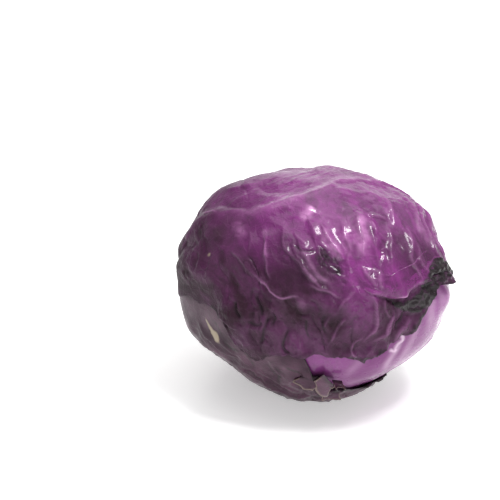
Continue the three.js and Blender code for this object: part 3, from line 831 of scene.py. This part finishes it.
def scrap(seed, corners, curl, flushed):
    along, across, triangles = strip_grid(20, 18)
    grid = np.stack([along * 5 + 3 * seed, across * 5, 0 * along], axis=1)
    slide = np.clip(across + 0.08 * along * waviness(grid, 1.6, seed), -0.1, 1.1)
    reach = along * (1 + 0.14 * waviness(grid, 1.3, seed + 1) - 0.16 * (2 * across - 1) ** 2)
    root, free = (
        np.array(corners[k])[:, None] * (1 - slide) + np.array(corners[k + 1])[:, None] * slide for k in (0, 2)
    )
    x, y = (root + (free - root) * reach)[:2]
    stand = root[2] + (free[2] - root[2]) * along ** 0.6 + 0.5 * ease(0.75, 1, along) * curl
    stand = stand + along * (curl * (2 * across - 1) ** 2 + 0.7 * waviness(grid, 2.2, seed + 2))
    d = wrapped(UNDER_LEAF, x, y)
    top = 2 * LAYER_GAP + LEAF_THICKNESS * (1 + cover(BACK_LEAF, d)) + stand
    rim = ease(0.86, 1.0, np.maximum(np.abs(2 * across - 1), along)) * ease(0.1, 0.4, along)
    look = {
        "flush": flushed + 0.2 * waviness(grid, 1.5, seed + 3),
        "pale": 0.02 + 0.1 * waviness(grid, 1.2, seed + 4),
        # darker towards the root, where it tucks against the blade: painted shade
        "dry": 0.05 + 0.6 * ease(0.4, 0.0, along),
        "scar": 0.5 * rim,
    }
    masks = {mask: np.tile(look[mask], 2) for mask in look}
    return np.concatenate([placed(d, top), placed(d, top - 0.6)]), triangles, masks


finished_leaf(
    "under_leaf_blade",
    "under_leaf",
    UNDER_LEAF,
    under_relief,
    leaf_material(
        "under_leaf_skin",
        flushed=(0.084, 0.0145, 0.054),
        dull=(0.024, 0.0088, 0.018),
        # the vein colour also gives the painted highlights on the fold crests
        vein=(0.13, 0.06, 0.10),
        # the dried colour also gives painted shade in the grooves, the wrinkles and at the scraps' roots
        dried=(0.013, 0.008, 0.009),
        gloss=0.46,
        bump=0.5,
    ),
    extra=[scrap(number, *each) for number, each in enumerate(UNDER_SCRAPS)],
)


# The top leaf. The biggest wrapper leaf covers the top and front of the head. Near the crown it is split, and
# the upper side laps over the lower in a thin curled lip. It is fresh and magenta on top, and wilts to a dull
# dark purple in front. It is bruised and crumpled in one place, and its margin is dried to a black frill.
TOP_SPLIT = [
    (34, 38.5), (40, 42), (47, 42), (52.5, 40.5), (57.5, 35.8), (62.5, 31), (66, 26.5), (69, 20.5),
    (74, 14.5), (80, 9.5), (86, 6),
]
SPLIT_RISE = 3.0
SPLIT_LAP = 1.9
SPLIT_OPENS = 0.22
TOP_FOLDS = [
    # places along it, height in millimetres, how sharply its far side drops, width, painted highlight on its
    # crest
    ([(-26, -29), (-17, -16), (-9, -10), (-1, -8), (6, -11), (13, -16)], -1.3, 2.6, 6.0, 0.0),
    ([(-36, -22), (-28, -18), (-19, -19), (-12, -26)], 1.3, 1.4, 5.0, 0.2),
    ([(-11, 12), (-10, 20), (-11, 28), (-10, 36), (-8, 41)], 1.7, 0.9, 4.0, 0.5),
    ([(-18, 14), (-18, 20), (-20, 27)], 0.9, 0.8, 3.0, 0.2),
    ([(-2, 12), (-2, 20), (0, 26), (5, 33), (11, 39), (16, 43)], 1.5, 0.8, 3.4, 0.45),
    ([(-23, 30), (-16, 39), (-12, 42), (-8, 46.5), (-4, 50), (3, 50), (8, 52)], 1.5, 0.5, 3.4, 1.0),
    ([(5, 19), (7.5, 26.5), (10, 32), (13, 37.5), (17, 41.5), (23, 44)], 2.4, 1.0, 3.6, 0.9),
    ([(3, 30), (6.5, 35.5), (11, 39.7), (14, 43), (20, 48)], 1.7, 0.8, 2.6, 0.9),
    ([(4, 18), (7, 22.5), (11, 26.5)], 1.2, 0.6, 2.4, 0.6),
    ([(14.3, 26), (16, 30.5), (18, 34)], 1.2, 0.5, 1.4, 1.0),
    ([(4, 22), (5, 29), (9, 38), (14, 47)], 1.2, 0.8, 2.4, 0.3),
    ([(10, 9), (12, 16), (13, 21), (15, 28)], 1.4, 0.7, 3.0, 0.3),
    ([(14, 12), (18, 19.5), (23, 26), (25, 30), (26.5, 34)], 2.2, 0.7, 3.6, 0.9),
    ([(25, 11), (27, 19), (29, 26), (29, 32), (32, 38)], 1.8, 1.2, 3.4, 0.45),
    ([(31.5, 4), (32.3, 9), (33.4, 17), (35.5, 22), (36, 29)], 2.5, 1.5, 3.8, 0.6),
    ([(37, 8), (39.5, 13), (39, 18)], 1.1, 0.6, 2.0, 0.6),
    ([(36, 5.2), (38, 5.3), (41.5, 5), (45, 4.4), (47, 4)], 1.5, 0.4, 2.2, 1.0),
    ([(39, 8), (40, 16), (41, 24), (43, 32), (46, 38)], 1.2, 1.2, 3.0, 0.15),
    ([(47, 6), (47, 16), (48, 26), (50, 35)], 1.5, 1.0, 3.4, 0.3),
    ([(42, -16), (45, -9), (48, 0), (50, 8)], 1.3, 0.8, 3.0, 0.5),
    ([(52, -26), (57, -17), (61, -8), (62, 2), (63, 10)], 1.6, 0.8, 3.0, 0.55),
    ([(57, -30), (62, -20), (65, -6), (68, 4), (72, 10), (80, 13)], 1.7, 0.7, 2.6, 0.6),
    ([(64, -30), (69, -18), (71, -6), (74, 3), (79, 8)], 1.4, 0.8, 2.6, 0.5),
    ([(70, -24), (75, -12), (77, -3), (82, 4)], 1.2, 0.8, 2.4, 0.45),
    ([(55, 2), (56, 11), (57, 19), (60, 26), (66, 30)], 1.3, 0.8, 2.8, 0.5),
    ([(59, 10), (61, 17), (64, 22), (70, 25)], 1.0, 0.8, 2.4, 0.35),
    ([(37, 32), (38, 35), (40.5, 39.5), (44, 41)], 1.4, 0.7, 2.0, 1.0),
    ([(41, 32), (43.3, 38.8), (46, 41)], 1.1, 0.6, 1.8, 0.8),
    ([(38, 42), (42, 46), (44.5, 51), (45.5, 57), (45, 61), (42, 66), (39, 71)], 2.4, 0.6, 4.2, 0.7),
    ([(56, 50), (54.3, 54), (51.5, 59), (50.5, 64)], 1.5, 0.6, 2.2, 0.9),
    ([(64, 50), (61.5, 55), (60, 60), (58, 66)], 1.4, 0.6, 2.2, 0.8),
    ([(49, 44), (48.5, 48), (51, 52), (55, 52)], 1.0, 0.6, 2.0, 0.3),
    ([(56, 53), (53, 58), (49, 63), (45, 69)], 1.5, 0.8, 3.0, 0.5),
    ([(66, 46), (63, 52), (61, 58)], 1.4, 0.6, 2.4, 0.5),
    ([(41, 65), (35, 69), (33, 74), (36, 78), (41, 79)], 1.5, 0.6, 2.6, 0.5),
    ([(31, 56), (27, 62), (22, 68), (19, 75)], 1.3, 0.7, 3.0, 0.4),
    ([(22, 57), (18, 63), (15, 70)], 1.0, 0.7, 2.6, 0.3),
    ([(34, 44), (29, 50), (25, 56)], 1.3, 0.8, 3.2, 0.4),
    ([(10, 43), (16, 46), (22, 47), (28, 50)], 1.1, 0.6, 2.6, 0.6),
    ([(-46, -10), (-39, -5), (-32, 1)], 0.8, 0.6, 2.6, 0.8),
    ([(-62, 1), (-56, 0), (-50, -2)], 0.8, 0.6, 2.4, 0.5),
    ([(-48, 44), (-43, 49), (-37, 56), (-30, 60)], 1.4, 0.6, 3.6, 0.2),
    ([(-26, 54), (-20, 61), (-16, 69), (-20, 74)], -1.2, 0.9, 1.8, 0.0),
    ([(-14, 52), (-11, 60), (-5, 62), (-1, 68)], -1.1, 0.9, 1.8, 0.0),
    ([(-6, 58), (0, 60), (3, 66), (2, 73)], 0.9, 0.6, 2.6, 0.1),
    ([(-36, 40), (-30, 46), (-28, 53)], 0.9, 0.9, 3.0, 0.1),
    ([(-54, 26), (-52, 34), (-46, 41)], 1.0, 0.8, 3.2, 0.15),
    ([(-40, 16), (-41, 24), (-46, 31)], 0.8, 0.9, 3.4, 0.1),
    ([(-30, 20), (-24, 28), (-22, 38)], 1.3, 0.8, 3.0, 0.3),
    ([(-50, 8), (-46, 16), (-50, 24)], 1.2, 0.8, 3.0, 0.2),
]
TOP_GROOVES = [
    ([(-30, 44), (-31.5, 49.5), (-29.5, 54)], 1.1),
    ([(-13, 56), (-16.5, 61.5), (-20, 66.5), (-25.5, 71)], 1.8),
    ([(-2, 63), (-7.5, 70), (-8, 74), (-3.5, 78)], 1.7),
    ([(-10.5, 54), (-10.5, 59.5), (-14.5, 63)], 1.3),
    ([(-52, 39), (-46, 44), (-43, 51), (-39, 58.5)], 1.6),
    ([(-27, 56), (-22, 59.5), (-18, 60)], 1.5),
    ([(59, 46), (61, 49), (59, 54), (60, 60)], 2.2),
    ([(4, 23.5), (9, 28.5), (14, 27.5)], 0.9),
    ([(-20, 46), (-17, 52), (-18, 57)], 1.1),
    ([(8, 60), (7, 66), (9, 72)], 1.0),
    ([(20, 56), (17, 62), (18, 69)], 1.0),
]
# The dried black frill by the split: places along it, and how wide it is there.
BLACK_FRILL = [(54, 45), (60, 45), (66, 41), (69.5, 34), (71, 27), (74, 21), (79, 15)]
BLACK_REACH = [0.8, 2.6, 4.0, 4.4, 3.6, 2.2, 1.8]
# Broad sheens painted as paler skin: places along them, how wide they are, strength.
TOP_PAINTED_SHEENS = [
    ([(-40, -1), (-18, 4), (-1, 2), (8, -4), (14, -10), (26, -24), (46, -34)], 3.4, 0.3),
    ([(26, 17), (28.5, 24), (28.6, 31)], 2.2, 0.5),
    ([(32, 6), (33, 13), (34.6, 20), (36, 29)], 2.8, 0.75),
    ([(16, 16), (20, 22.5), (24, 28.5), (26, 33)], 2.0, 0.6),
    ([(7, 25), (10, 32), (13, 37.5), (17, 41.5), (23, 43.5)], 1.3, 0.5),
    ([(6.4, 35), (11, 39.7), (15, 43.5)], 1.0, 0.6),
    ([(12.6, 5.6), (10.6, 8.2), (8, 12.6)], 2.0, 1.0),
    ([(-11, 14), (-10.5, 22), (-10.5, 30)], 1.1, 0.5),
    ([(41, 32), (42.4, 36), (43.5, 40)], 1.2, 0.4),
    ([(60, -6), (64, 2), (68, 10)], 2.4, 0.3),
    ([(-30, 6), (-24, 12), (-20, 18)], 2.4, 0.25),
    ([(28, 10), (30, 20), (31, 30)], 4.0, 0.14),
    ([(-16, -32), (4, -42), (26, -50)], 5.0, 0.2),
]
# Patches of colour: x, y, spread, and how flushed the skin is there.
TOP_TONES = [
    (-62, 5, 18, 0.0), (-45, -25, 20, 0.3), (-42, 14, 14, 0.0), (-28, -8, 12, 0.5), (-26, 14, 9, 0.4),
    (-34, 24, 10, 0.05), (-40, 48, 20, 0.0), (-22, 32, 9, 0.1), (-13, 18, 9, 0.65), (-4, 28, 8, 0.4),
    (-6, 44, 10, 0.05), (-15, 66, 18, 0.0), (-16, -12, 10, 0.75), (4, -24, 14, 0.95), (6, 6, 13, 0.95),
    (24, 6, 12, 1.0), (13, 24, 6, 0.5), (8, 50, 10, 0.1), (6, 70, 14, 0.15), (26, 51, 6, 0.45),
    (36, 52, 6, 0.45), (45, 62, 5, 0.35), (60, 60, 8, 0.05), (50, 50, 5, 0.0), (25, 64, 10, 0.12),
    (36, 24, 9, 1.0), (38, 37, 8, 1.0), (48, 34, 6, 0.8), (40, -12, 14, 1.0), (54, 16, 9, 0.45),
    (46, 4, 9, 0.8), (64, -6, 12, 0.75), (68, 18, 9, 0.3), (30, 76, 14, 0.25), (56, 54, 9, 0.15),
    (40, -45, 26, 0.85), (0, -60, 30, 0.7),
]


# How far along the split a flat place is, and how far from it, less than 0 on the upper side.
def split_place(flat):
    away, behind, side = beside_line(flat, drawn(TOP_SPLIT, 30))
    return behind, away * side


def split_closes(along_line):
    return 1 - 0.6 * ease(0.7, 1, along_line)


def split_lift(along_line, away):
    lapping = np.where(away < 0, 1 - ease(2, 24, -away), 1 - ease(-1, 3, away))
    return SPLIT_RISE * ease(0, SPLIT_OPENS, along_line) * lapping * split_closes(along_line)


def patch(x, y, middle, radius, soft=4.0):
    return ease(radius + soft, radius - soft, np.hypot(x - middle[0], y - middle[1]))


def top_relief(x, y, d, inside, bare):
    flat = np.stack([x, y], axis=1)
    ball = d * BALL
    angle = np.degrees(np.arctan2(y, x))
    wandering = strayed(TOP_LEAF, flat, ball)
    flutes, creases = leaf_creases(TOP_LEAF, x, y, d)
    narrow, crinkles = leaf_creases(TOP_LEAF, x, y, d, 4.6, 4.4)
    shares = [bell(np.hypot(*(wandering - tone[:2]).T), tone[2]) for tone in TOP_TONES]
    toned = sum(share * tone[3] for share, tone in zip(shares, TOP_TONES))
    flush = (toned + 5e-4) / (sum(shares) + 1e-3)

    frontward = ease(34, 52, y)
    upper = ease(20, 40, x) * ease(14, -6, y)
    height = (0.4 + 0.3 * frontward) * flutes + (0.25 + 0.35 * frontward) * creases
    height = height + 0.75 * ease(30, 60, x) * (1 - frontward) * narrow
    height = height + (0.12 + 0.14 * upper + 0.12 * frontward) * crinkles
    slanted = np.stack([x + 0.6 * y + 1.5 * waviness(ball, 12, 87), y * 0.25, 0 * x], axis=1)
    height = height + 0.9 * ease(46, 56, y) * ease(6, 22, x) * ease(58, 46, x) * crumple(slanted, 5.5, 88, 2)
    height = height + 1.1 * waviness(ball, 17, 62) + 0.5 * waviness(ball, 9, 63)
    pale = np.zeros(len(x))
    for places, high, sharp, slow, painted_crest_light in TOP_FOLDS:
        fold, away, ends = fold_relief(wandering, drawn(places, 18), high, sharp, slow)
        height = height + fold
        # a painted highlight along the fold's crest
        pale = np.maximum(pale, painted_crest_light * 0.42 * ends * bell(away, 0.55))

    # the wilted parts are dull and covered in wrinkles and creases, with painted shade along them
    depth, painted_crease_shade = grooves(wandering, TOP_GROOVES)
    dull = np.clip(1.15 - 1.6 * flush, 0, 1) * ease(-70, -20, x - 0.6 * y + 30)
    warp = 3 * np.stack([waviness(ball, 10, 64), waviness(ball, 10, 65), 0 * x], axis=1)
    warped = np.stack([1.14 * x - 0.3 * y, 0.6 * y, 0 * x], axis=1) + warp
    wrinkled = dull * wrinkles(warped, 9, 67)
    fine_wrinkled = dull * wrinkles(warped, 4.6, 68, 0.2)
    height = height - depth - 0.9 * wrinkled - 0.35 * fine_wrinkled
    bloom = dull * ease(0.05, 0.6, waviness(warped, 6, 69) + 0.5 * creases)
    # in the folded zone the hollows between the flutes get painted shade, and the flute crests (back) a painted
    # highlight
    folded = ease(-12, 4, x) * ease(50, 40, y) * ease(-18, 0, y)
    painted_hollow_shade = folded * np.maximum(ease(0.42, 0.0, narrow), ease(0.35, -0.1, flutes))
    back = folded * ease(0.62, 0.92, narrow) * ease(0.1, 0.6, flutes)

    # the bruise, with two soft dark cores, its crumple crests painted lighter and tipped with painted glints, and
    # a rough spot beside it
    off_x, off_y = x - 21.5, y - 34
    down_bruise, over_bruise = off_x * 0.73 + off_y * 0.68, off_y * 0.73 - off_x * 0.68
    bruise = ease(1.2, 0.7, np.hypot(down_bruise / 9.3, over_bruise / 4.4) + 0.3 * waviness(ball, 4, 71))
    crumpled = crumple(np.stack([0.35 * down_bruise, over_bruise, 0 * x], axis=1) * 1.14, 2.6, 72)
    curled = crumple(ball, 2.4, 73, 2)
    rough = patch(x, y, (6, 53), 2.4, 2.0)
    # a painted glint, over a small bump
    painted_glint = patch(x, y, (10, 8.5), 1.6, 2.4)
    height = height + bruise * (1.1 * crumpled + 0.7 * curled - 1.0) + 1.1 * painted_glint
    height = height + 0.6 * rough * crumple(ball, 2.6, 75, 2)
    cores = patch(x, y, (18.5, 37.5), 1.0, 2.4) + patch(x, y, (25.5, 37.5), 1.0, 2.2)
    # the crumple crests are painted lighter
    bruised = bruise * np.clip(0.7 + 0.3 * cores - 0.5 * ease(0.6, 0.9, crumpled), 0, 1)

    # the black frill and the ruffled margin
    black_away, black_along, side = beside_line(flat, np.array(BLACK_FRILL, float))
    black_wide = np.interp(black_along, np.linspace(0, 1, len(BLACK_REACH)), BLACK_REACH)
    blackened = ease(1.0, -1.0, black_away - black_wide + 1.6 * waviness(ball, 4.2, 76))
    frill_folds = crumple(ball, 3.6, 78)
    height = height + blackened * (2.2 * frill_folds + 0.3)
    settled = ease(14, 3, inside) * ease(125, 145, np.abs(angle))
    height = height * (1 - settled) - 1.2 * settled
    edge = ease(6.5, 0, inside)
    frilled = ease(5, 15, angle) * ease(80, 62, angle)
    height = height + edge * frilled * (0.8 * waviness(ball, 3.4, 80) + 0.48 * waviness(ball, 1.8, 81))
    lift = edge * (0.4 * ease(120, 100, angle) + frilled * (0.8 + 1.2 * waviness(ball, 4.2, 83)))
    along_line, away = split_place(flat)
    lift = lift + split_lift(along_line, away) / np.maximum(bare, 0.2)
    flap = ease(0, 4, away) * ease(0.05, 0.25, along_line) * ease(66, 54, y - 0.1 * x) * ease(40, 45, x)

    rim_dry = ease(1.8, 0.4, inside + 1.2 * waviness(ball, 3.5, 85)) * (0.25 + 0.5 * frilled)
    # painted shade joins the real dryness in the dry mask: along the wrinkles, in the groove bottoms and in the
    # flute hollows of the folded zone
    painted_wrinkle_shade = 0.3 * wrinkled + 0.2 * fine_wrinkled
    dry = np.max([bruised, blackened, rim_dry, 0.12 * flap, 0.75 * painted_crease_shade, painted_wrinkle_shade, 0.32 * painted_hollow_shade], axis=0)
    # the flute crests of the folded zone (back) get a painted highlight; the bloom is the leaf's own wax
    pale = np.maximum(pale, 0.04 * bloom + 0.12 * back)
    # painted sheens, as paler skin, broken up a little
    broken = 0.8 + 0.35 * waviness(ball, 3.2, 74) + 0.25 * waviness(ball, 1.3, 77)
    for places, width, strength in TOP_PAINTED_SHEENS:
        sheen_away, sheen_behind, side = beside_line(wandering, drawn(places, 16))
        ends = ease(-0.02, 0.25, sheen_behind) * ease(1.02, 0.75, sheen_behind)
        pale = np.maximum(pale, strength * ends * broken * bell(sheen_away, width))
    # painted glints on the bruise's crumple crests and on the glint patch; the rough spot is paler in its own
    # colour
    pale = np.max([pale, bruise * 0.7 * ease(0.78, 0.95, curled), 0.9 * painted_glint, 0.16 * rough], axis=0)
    return {
        "height": height,
        "lift": lift,
        "sink": 0.9 * settled,
        # more flushed on the flute and crease crests and duller between them: painted light and shade
        "flush": np.maximum(flush + 0.08 * flutes + 0.06 * creases, 0.6 * blackened),
        # the black frill's fold crests are less dark: a painted highlight
        "dry": dry * (1 - 0.25 * blackened * ease(0.72, 0.95, frill_folds)),
        "pale": pale * (1 - 0.7 * blackened),
        "scar": 0.8 * patch(x, y, (-41, 18), 0.7, 0.5),
        "vein": 0.05 + 0.3 * np.clip(flush, 0, 1) ** 2,
    }


# The lip on the upper side of the split: it grows out of the blade, laps over and curls up along a pale rim.
def top_lip():
    along, across, triangles = strip_grid(150, 26)
    line = drawn(TOP_SPLIT, 200)
    place = along * (len(line) - 1)
    i = np.minimum(place.astype(int), len(line) - 2)
    way = line[i + 1] - line[i]
    edge_places = np.stack([along * 60, 0 * along, 0 * along], axis=1)
    roll = bell(along - 0.36, 0.05)
    uneven = 0.35 * waviness(edge_places, 7, 91) + 0.2 * waviness(edge_places, 2.2, 92)
    lap = SPLIT_LAP * (1 + uneven) + 0.9 * roll
    away = (-8 + (lap + 8) * across) / np.hypot(way[:, 0], way[:, 1])
    x = line[i, 0] + way[:, 0] * (place - i) - way[:, 1] * away
    y = line[i, 1] + way[:, 1] * (place - i) + way[:, 0] * away
    d, low, high, look = leaf_faces(TOP_LEAF, top_relief, x, y)
    along_line, off = split_place(np.stack([x, y], axis=1))
    opened = ease(0, SPLIT_OPENS, along)
    lapped = SPLIT_RISE * opened * split_closes(along)
    top = high - split_lift(along_line, off) + lapped - 0.5 * (1 - ease(0, 0.55, across)) - 0.5 * (1 - opened)
    curled_under = ease(0.8, 1.0, across) ** 2
    top = top + opened * curled_under * (0.3 * waviness(edge_places, 5, 93) - 1.3 + 1.6 * roll)
    rim = ease(0.9, 1.0, across)
    black_start = 0.85 - 0.45 * ease(0.5, 0.8, along)
    black = ease(0.52, 0.6, along + 0.04 * waviness(edge_places, 4, 94))
    black = black * ease(black_start, black_start + 0.15, across + 0.15 * waviness(d * BALL, 3.5, 96))
    top = top + black * 1.2 * crumple(d * BALL, 3.6, 95, 2)
    look = {
        "flush": np.maximum(look["flush"], 0.7),
        "pale": np.maximum(look["pale"], (0.12 + 0.5 * roll) * rim * (1 - black)),
        "dry": np.maximum(black, 0.2 * rim * (1 - roll)),
        "scar": 0 * x,
    }
    masks = {mask: np.tile(look[mask], 2) for mask in look}
    return np.concatenate([placed(d, top), placed(d, top - 0.9)]), triangles, masks


finished_leaf(
    "top_leaf_blade",
    "top_leaf",
    TOP_LEAF,
    top_relief,
    leaf_material(
        "top_leaf_skin",
        flushed=(0.225, 0.028, 0.20),
        dull=(0.031, 0.0105, 0.0215),
        # the vein colour also gives the painted highlights, glints and sheens
        vein=(0.60, 0.25, 0.54),
        # the dried colour also gives painted shade in the creases, wrinkles and flute hollows
        dried=(0.014, 0.008, 0.011),
        gloss=0.5,
        bump=1.0,
    ),
    spacing=0.62,
    extra=[top_lip()],
)


# The stump. The stem is cut through with a knife a little way below the lowest leaves: a pale disc with a
# ring of fibres under the skin, softer pith in the middle, and browned by the air.
STUMP_RADIUS = 14.0
STUMP_LENGTH = 12.5
SEAT_GAP = 0.3
STUMP_POINTS_ROUND = 160
turns = np.arange(STUMP_POINTS_ROUND) * 2 * math.pi / STUMP_POINTS_ROUND
stump_flutes = 0.35 * np.sin(5 * turns + 0.6) + 0.18 * np.sin(11 * turns)
SIDEWAYS = np.array([0.0, 1.0, 0.0])
outward = np.cos(turns)[:, None] * SIDEWAYS + np.sin(turns)[:, None] * np.cross(AXIS, SIDEWAYS)
profile = [(STUMP_RADIUS, h) for h in np.linspace(0, STUMP_LENGTH - 1, 14)]
profile += [(STUMP_RADIUS - 0.4, STUMP_LENGTH - 0.35), (STUMP_RADIUS - 1.0, STUMP_LENGTH)]
profile += [(r, STUMP_LENGTH) for r in np.linspace(STUMP_RADIUS - 1.8, 0.8, 18)]
stump_rings = []
for radius, along_stem in profile:
    waist = 0.5 * math.sin(math.pi * min(along_stem, STUMP_LENGTH) / STUMP_LENGTH)
    r = radius - waist + stump_flutes * radius / STUMP_RADIUS
    ring = AXIS * -(SEAT_DEPTH + SEAT_GAP + along_stem) + r[:, None] * outward
    if along_stem >= STUMP_LENGTH - 0.5:
        sawn = 0.25 * waviness(ring, 3.0, 101) + 0.15 * np.sin(ring[:, 1] * 1.9)
        ring = ring - AXIS * (sawn - 0.5 * math.exp(-((radius / 6) ** 2)))[:, None]
    else:
        ring = ring + outward * (0.2 * waviness(ring, 2.5, 102))[:, None]
    stump_rings.append(ring)
stump_points = np.concatenate([*stump_rings, [AXIS * -(SEAT_DEPTH + SEAT_GAP)], [stump_rings[-1].mean(axis=0)]])
stump_base = len(profile) * STUMP_POINTS_ROUND
numbers = [list(range(k, k + STUMP_POINTS_ROUND)) for k in range(0, stump_base, STUMP_POINTS_ROUND)]
stump_triangles = []
for low_ring, high_ring in zip([[stump_base], *numbers], [*numbers, [stump_base + 1]]):
    stump_triangles += stitch(low_ring, high_ring)
stump = make_piece("stem_stump_cut", HEAD_CENTRE + stump_points, stump_triangles, {})
stump_skin = bpy.data.materials.new("stump_skin")
stump_skin.use_nodes = True
stump_tree = stump_skin.node_tree
stump_place = stump_tree.nodes.new("ShaderNodeTexCoord").outputs["Object"]
fibres = add_node(stump_tree, "TexNoise", {"Vector": stump_place, "Scale": 420.0, "Detail": 4.0}).outputs["Fac"]
stain = add_node(stump_tree, "TexNoise", {"Vector": stump_place, "Scale": 90.0, "Detail": 3.0}).outputs["Fac"]
browned = add_node(stump_tree, "ValToRGB", {"Fac": stain})
browned.color_ramp.elements[0].position = 0.3
browned.color_ramp.elements[0].color = (0.42, 0.30, 0.17, 1)
browned.color_ramp.elements[1].position = 0.62
browned.color_ramp.elements[1].color = (0.76, 0.68, 0.52, 1)
fibre_tones = {0: 0.45, 6: browned.outputs["Color"], 7: fibres}
grained = add_node(stump_tree, "Mix", fibre_tones, data_type="RGBA", blend_type="MULTIPLY")
stump_bumps = add_node(stump_tree, "Bump", {"Strength": 0.5, "Distance": 0.0008, "Height": fibres})
stump_looks = {"Base Color": grained.outputs[2], "Roughness": 0.62, "Normal": stump_bumps.outputs["Normal"]}
feed(stump_tree, stump_tree.nodes["Principled BSDF"], stump_looks)
stump.data.materials.append(stump_skin)
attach(stump, "root")
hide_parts("stem_stump")


# The studio. A wide pale floor, a big soft light overhead, a smaller and stronger one to its right, three
# weak ones round the head, and the camera a little above the head and towards its crown end.
floor_mesh = bpy.data.meshes.new("floor")
floor_mesh.from_pydata([(-6, -6, 0), (6, -6, 0), (6, 6, 0), (-6, 6, 0)], [], [(0, 1, 2, 3)])
floor = bpy.data.objects.new("floor", floor_mesh)
bpy.context.collection.objects.link(floor)
floor_paint = bpy.data.materials.new("floor_paint")
floor_paint.use_nodes = True
floor_shader = floor_paint.node_tree.nodes["Principled BSDF"]
floor_shader.inputs["Base Color"].default_value = (0.93, 0.93, 0.93, 1)
floor_shader.inputs["Roughness"].default_value = 0.9
floor_shader.inputs["Specular IOR Level"].default_value = 0.1
floor_shader.inputs["Emission Color"].default_value = (1, 1, 1, 1)
floor_shader.inputs["Emission Strength"].default_value = 0.42
floor_mesh.materials.append(floor_paint)

world = bpy.data.worlds.new("studio_air")
world.use_nodes = True
world.node_tree.nodes["Background"].inputs["Color"].default_value = (1, 1, 1, 1)
world.node_tree.nodes["Background"].inputs["Strength"].default_value = 0.34
bpy.context.scene.world = world

head_at = Vector(HEAD_CENTRE * 0.001)
for light_name, spot, power, size in (
    ("top_light", (0.0, 0.1, 1.6), 13.0, 1.8),
    ("key_light", (0.45, -0.1, 1.26), 12.0, 0.36),
    ("rim_light", (0.8, 0.7, 1.1), 2.5, 1.2),
    ("back_light", (-0.4, 1.5, 0.7), 4.0, 1.2),
    ("crown_light", (0.8, -1.0, 0.5), 1.6, 0.3),
):
    lamp = bpy.data.lights.new(light_name, "AREA")
    lamp.energy = power
    lamp.size = size
    holder = bpy.data.objects.new(light_name, lamp)
    bpy.context.collection.objects.link(holder)
    holder.location = head_at + Vector(spot)
    holder.rotation_mode = "QUATERNION"
    holder.rotation_quaternion = (-Vector(spot)).to_track_quat("-Z", "Y")

CAMERA_TURN = math.radians(20)
CAMERA_RISE = math.radians(22)
CAMERA_DISTANCE = 0.9
PIXELS_PER_MM = 1.69
HEAD_IN_PHOTO = (315, 284)
back = Vector(
    (
        math.sin(CAMERA_TURN) * math.cos(CAMERA_RISE),
        -math.cos(CAMERA_TURN) * math.cos(CAMERA_RISE),
        math.sin(CAMERA_RISE),
    )
)
right = Vector((math.cos(CAMERA_TURN), math.sin(CAMERA_TURN), 0))
above = back.cross(right)
to_right = (HEAD_IN_PHOTO[0] - 250) / PIXELS_PER_MM * 0.001
to_top = (250 - HEAD_IN_PHOTO[1]) / PIXELS_PER_MM * 0.001
camera = bpy.data.objects.new("camera", bpy.data.cameras.new("camera"))
bpy.context.collection.objects.link(camera)
camera.data.sensor_width = 36.0
camera.data.lens = PIXELS_PER_MM * CAMERA_DISTANCE * 1000 / 500 * 36.0
camera.location = head_at + back * CAMERA_DISTANCE - right * to_right - above * to_top
camera.rotation_mode = "QUATERNION"
camera.rotation_quaternion = (-back).to_track_quat("-Z", "Y")
bpy.context.scene.camera = camera
bpy.context.scene.view_settings.view_transform = "Standard"
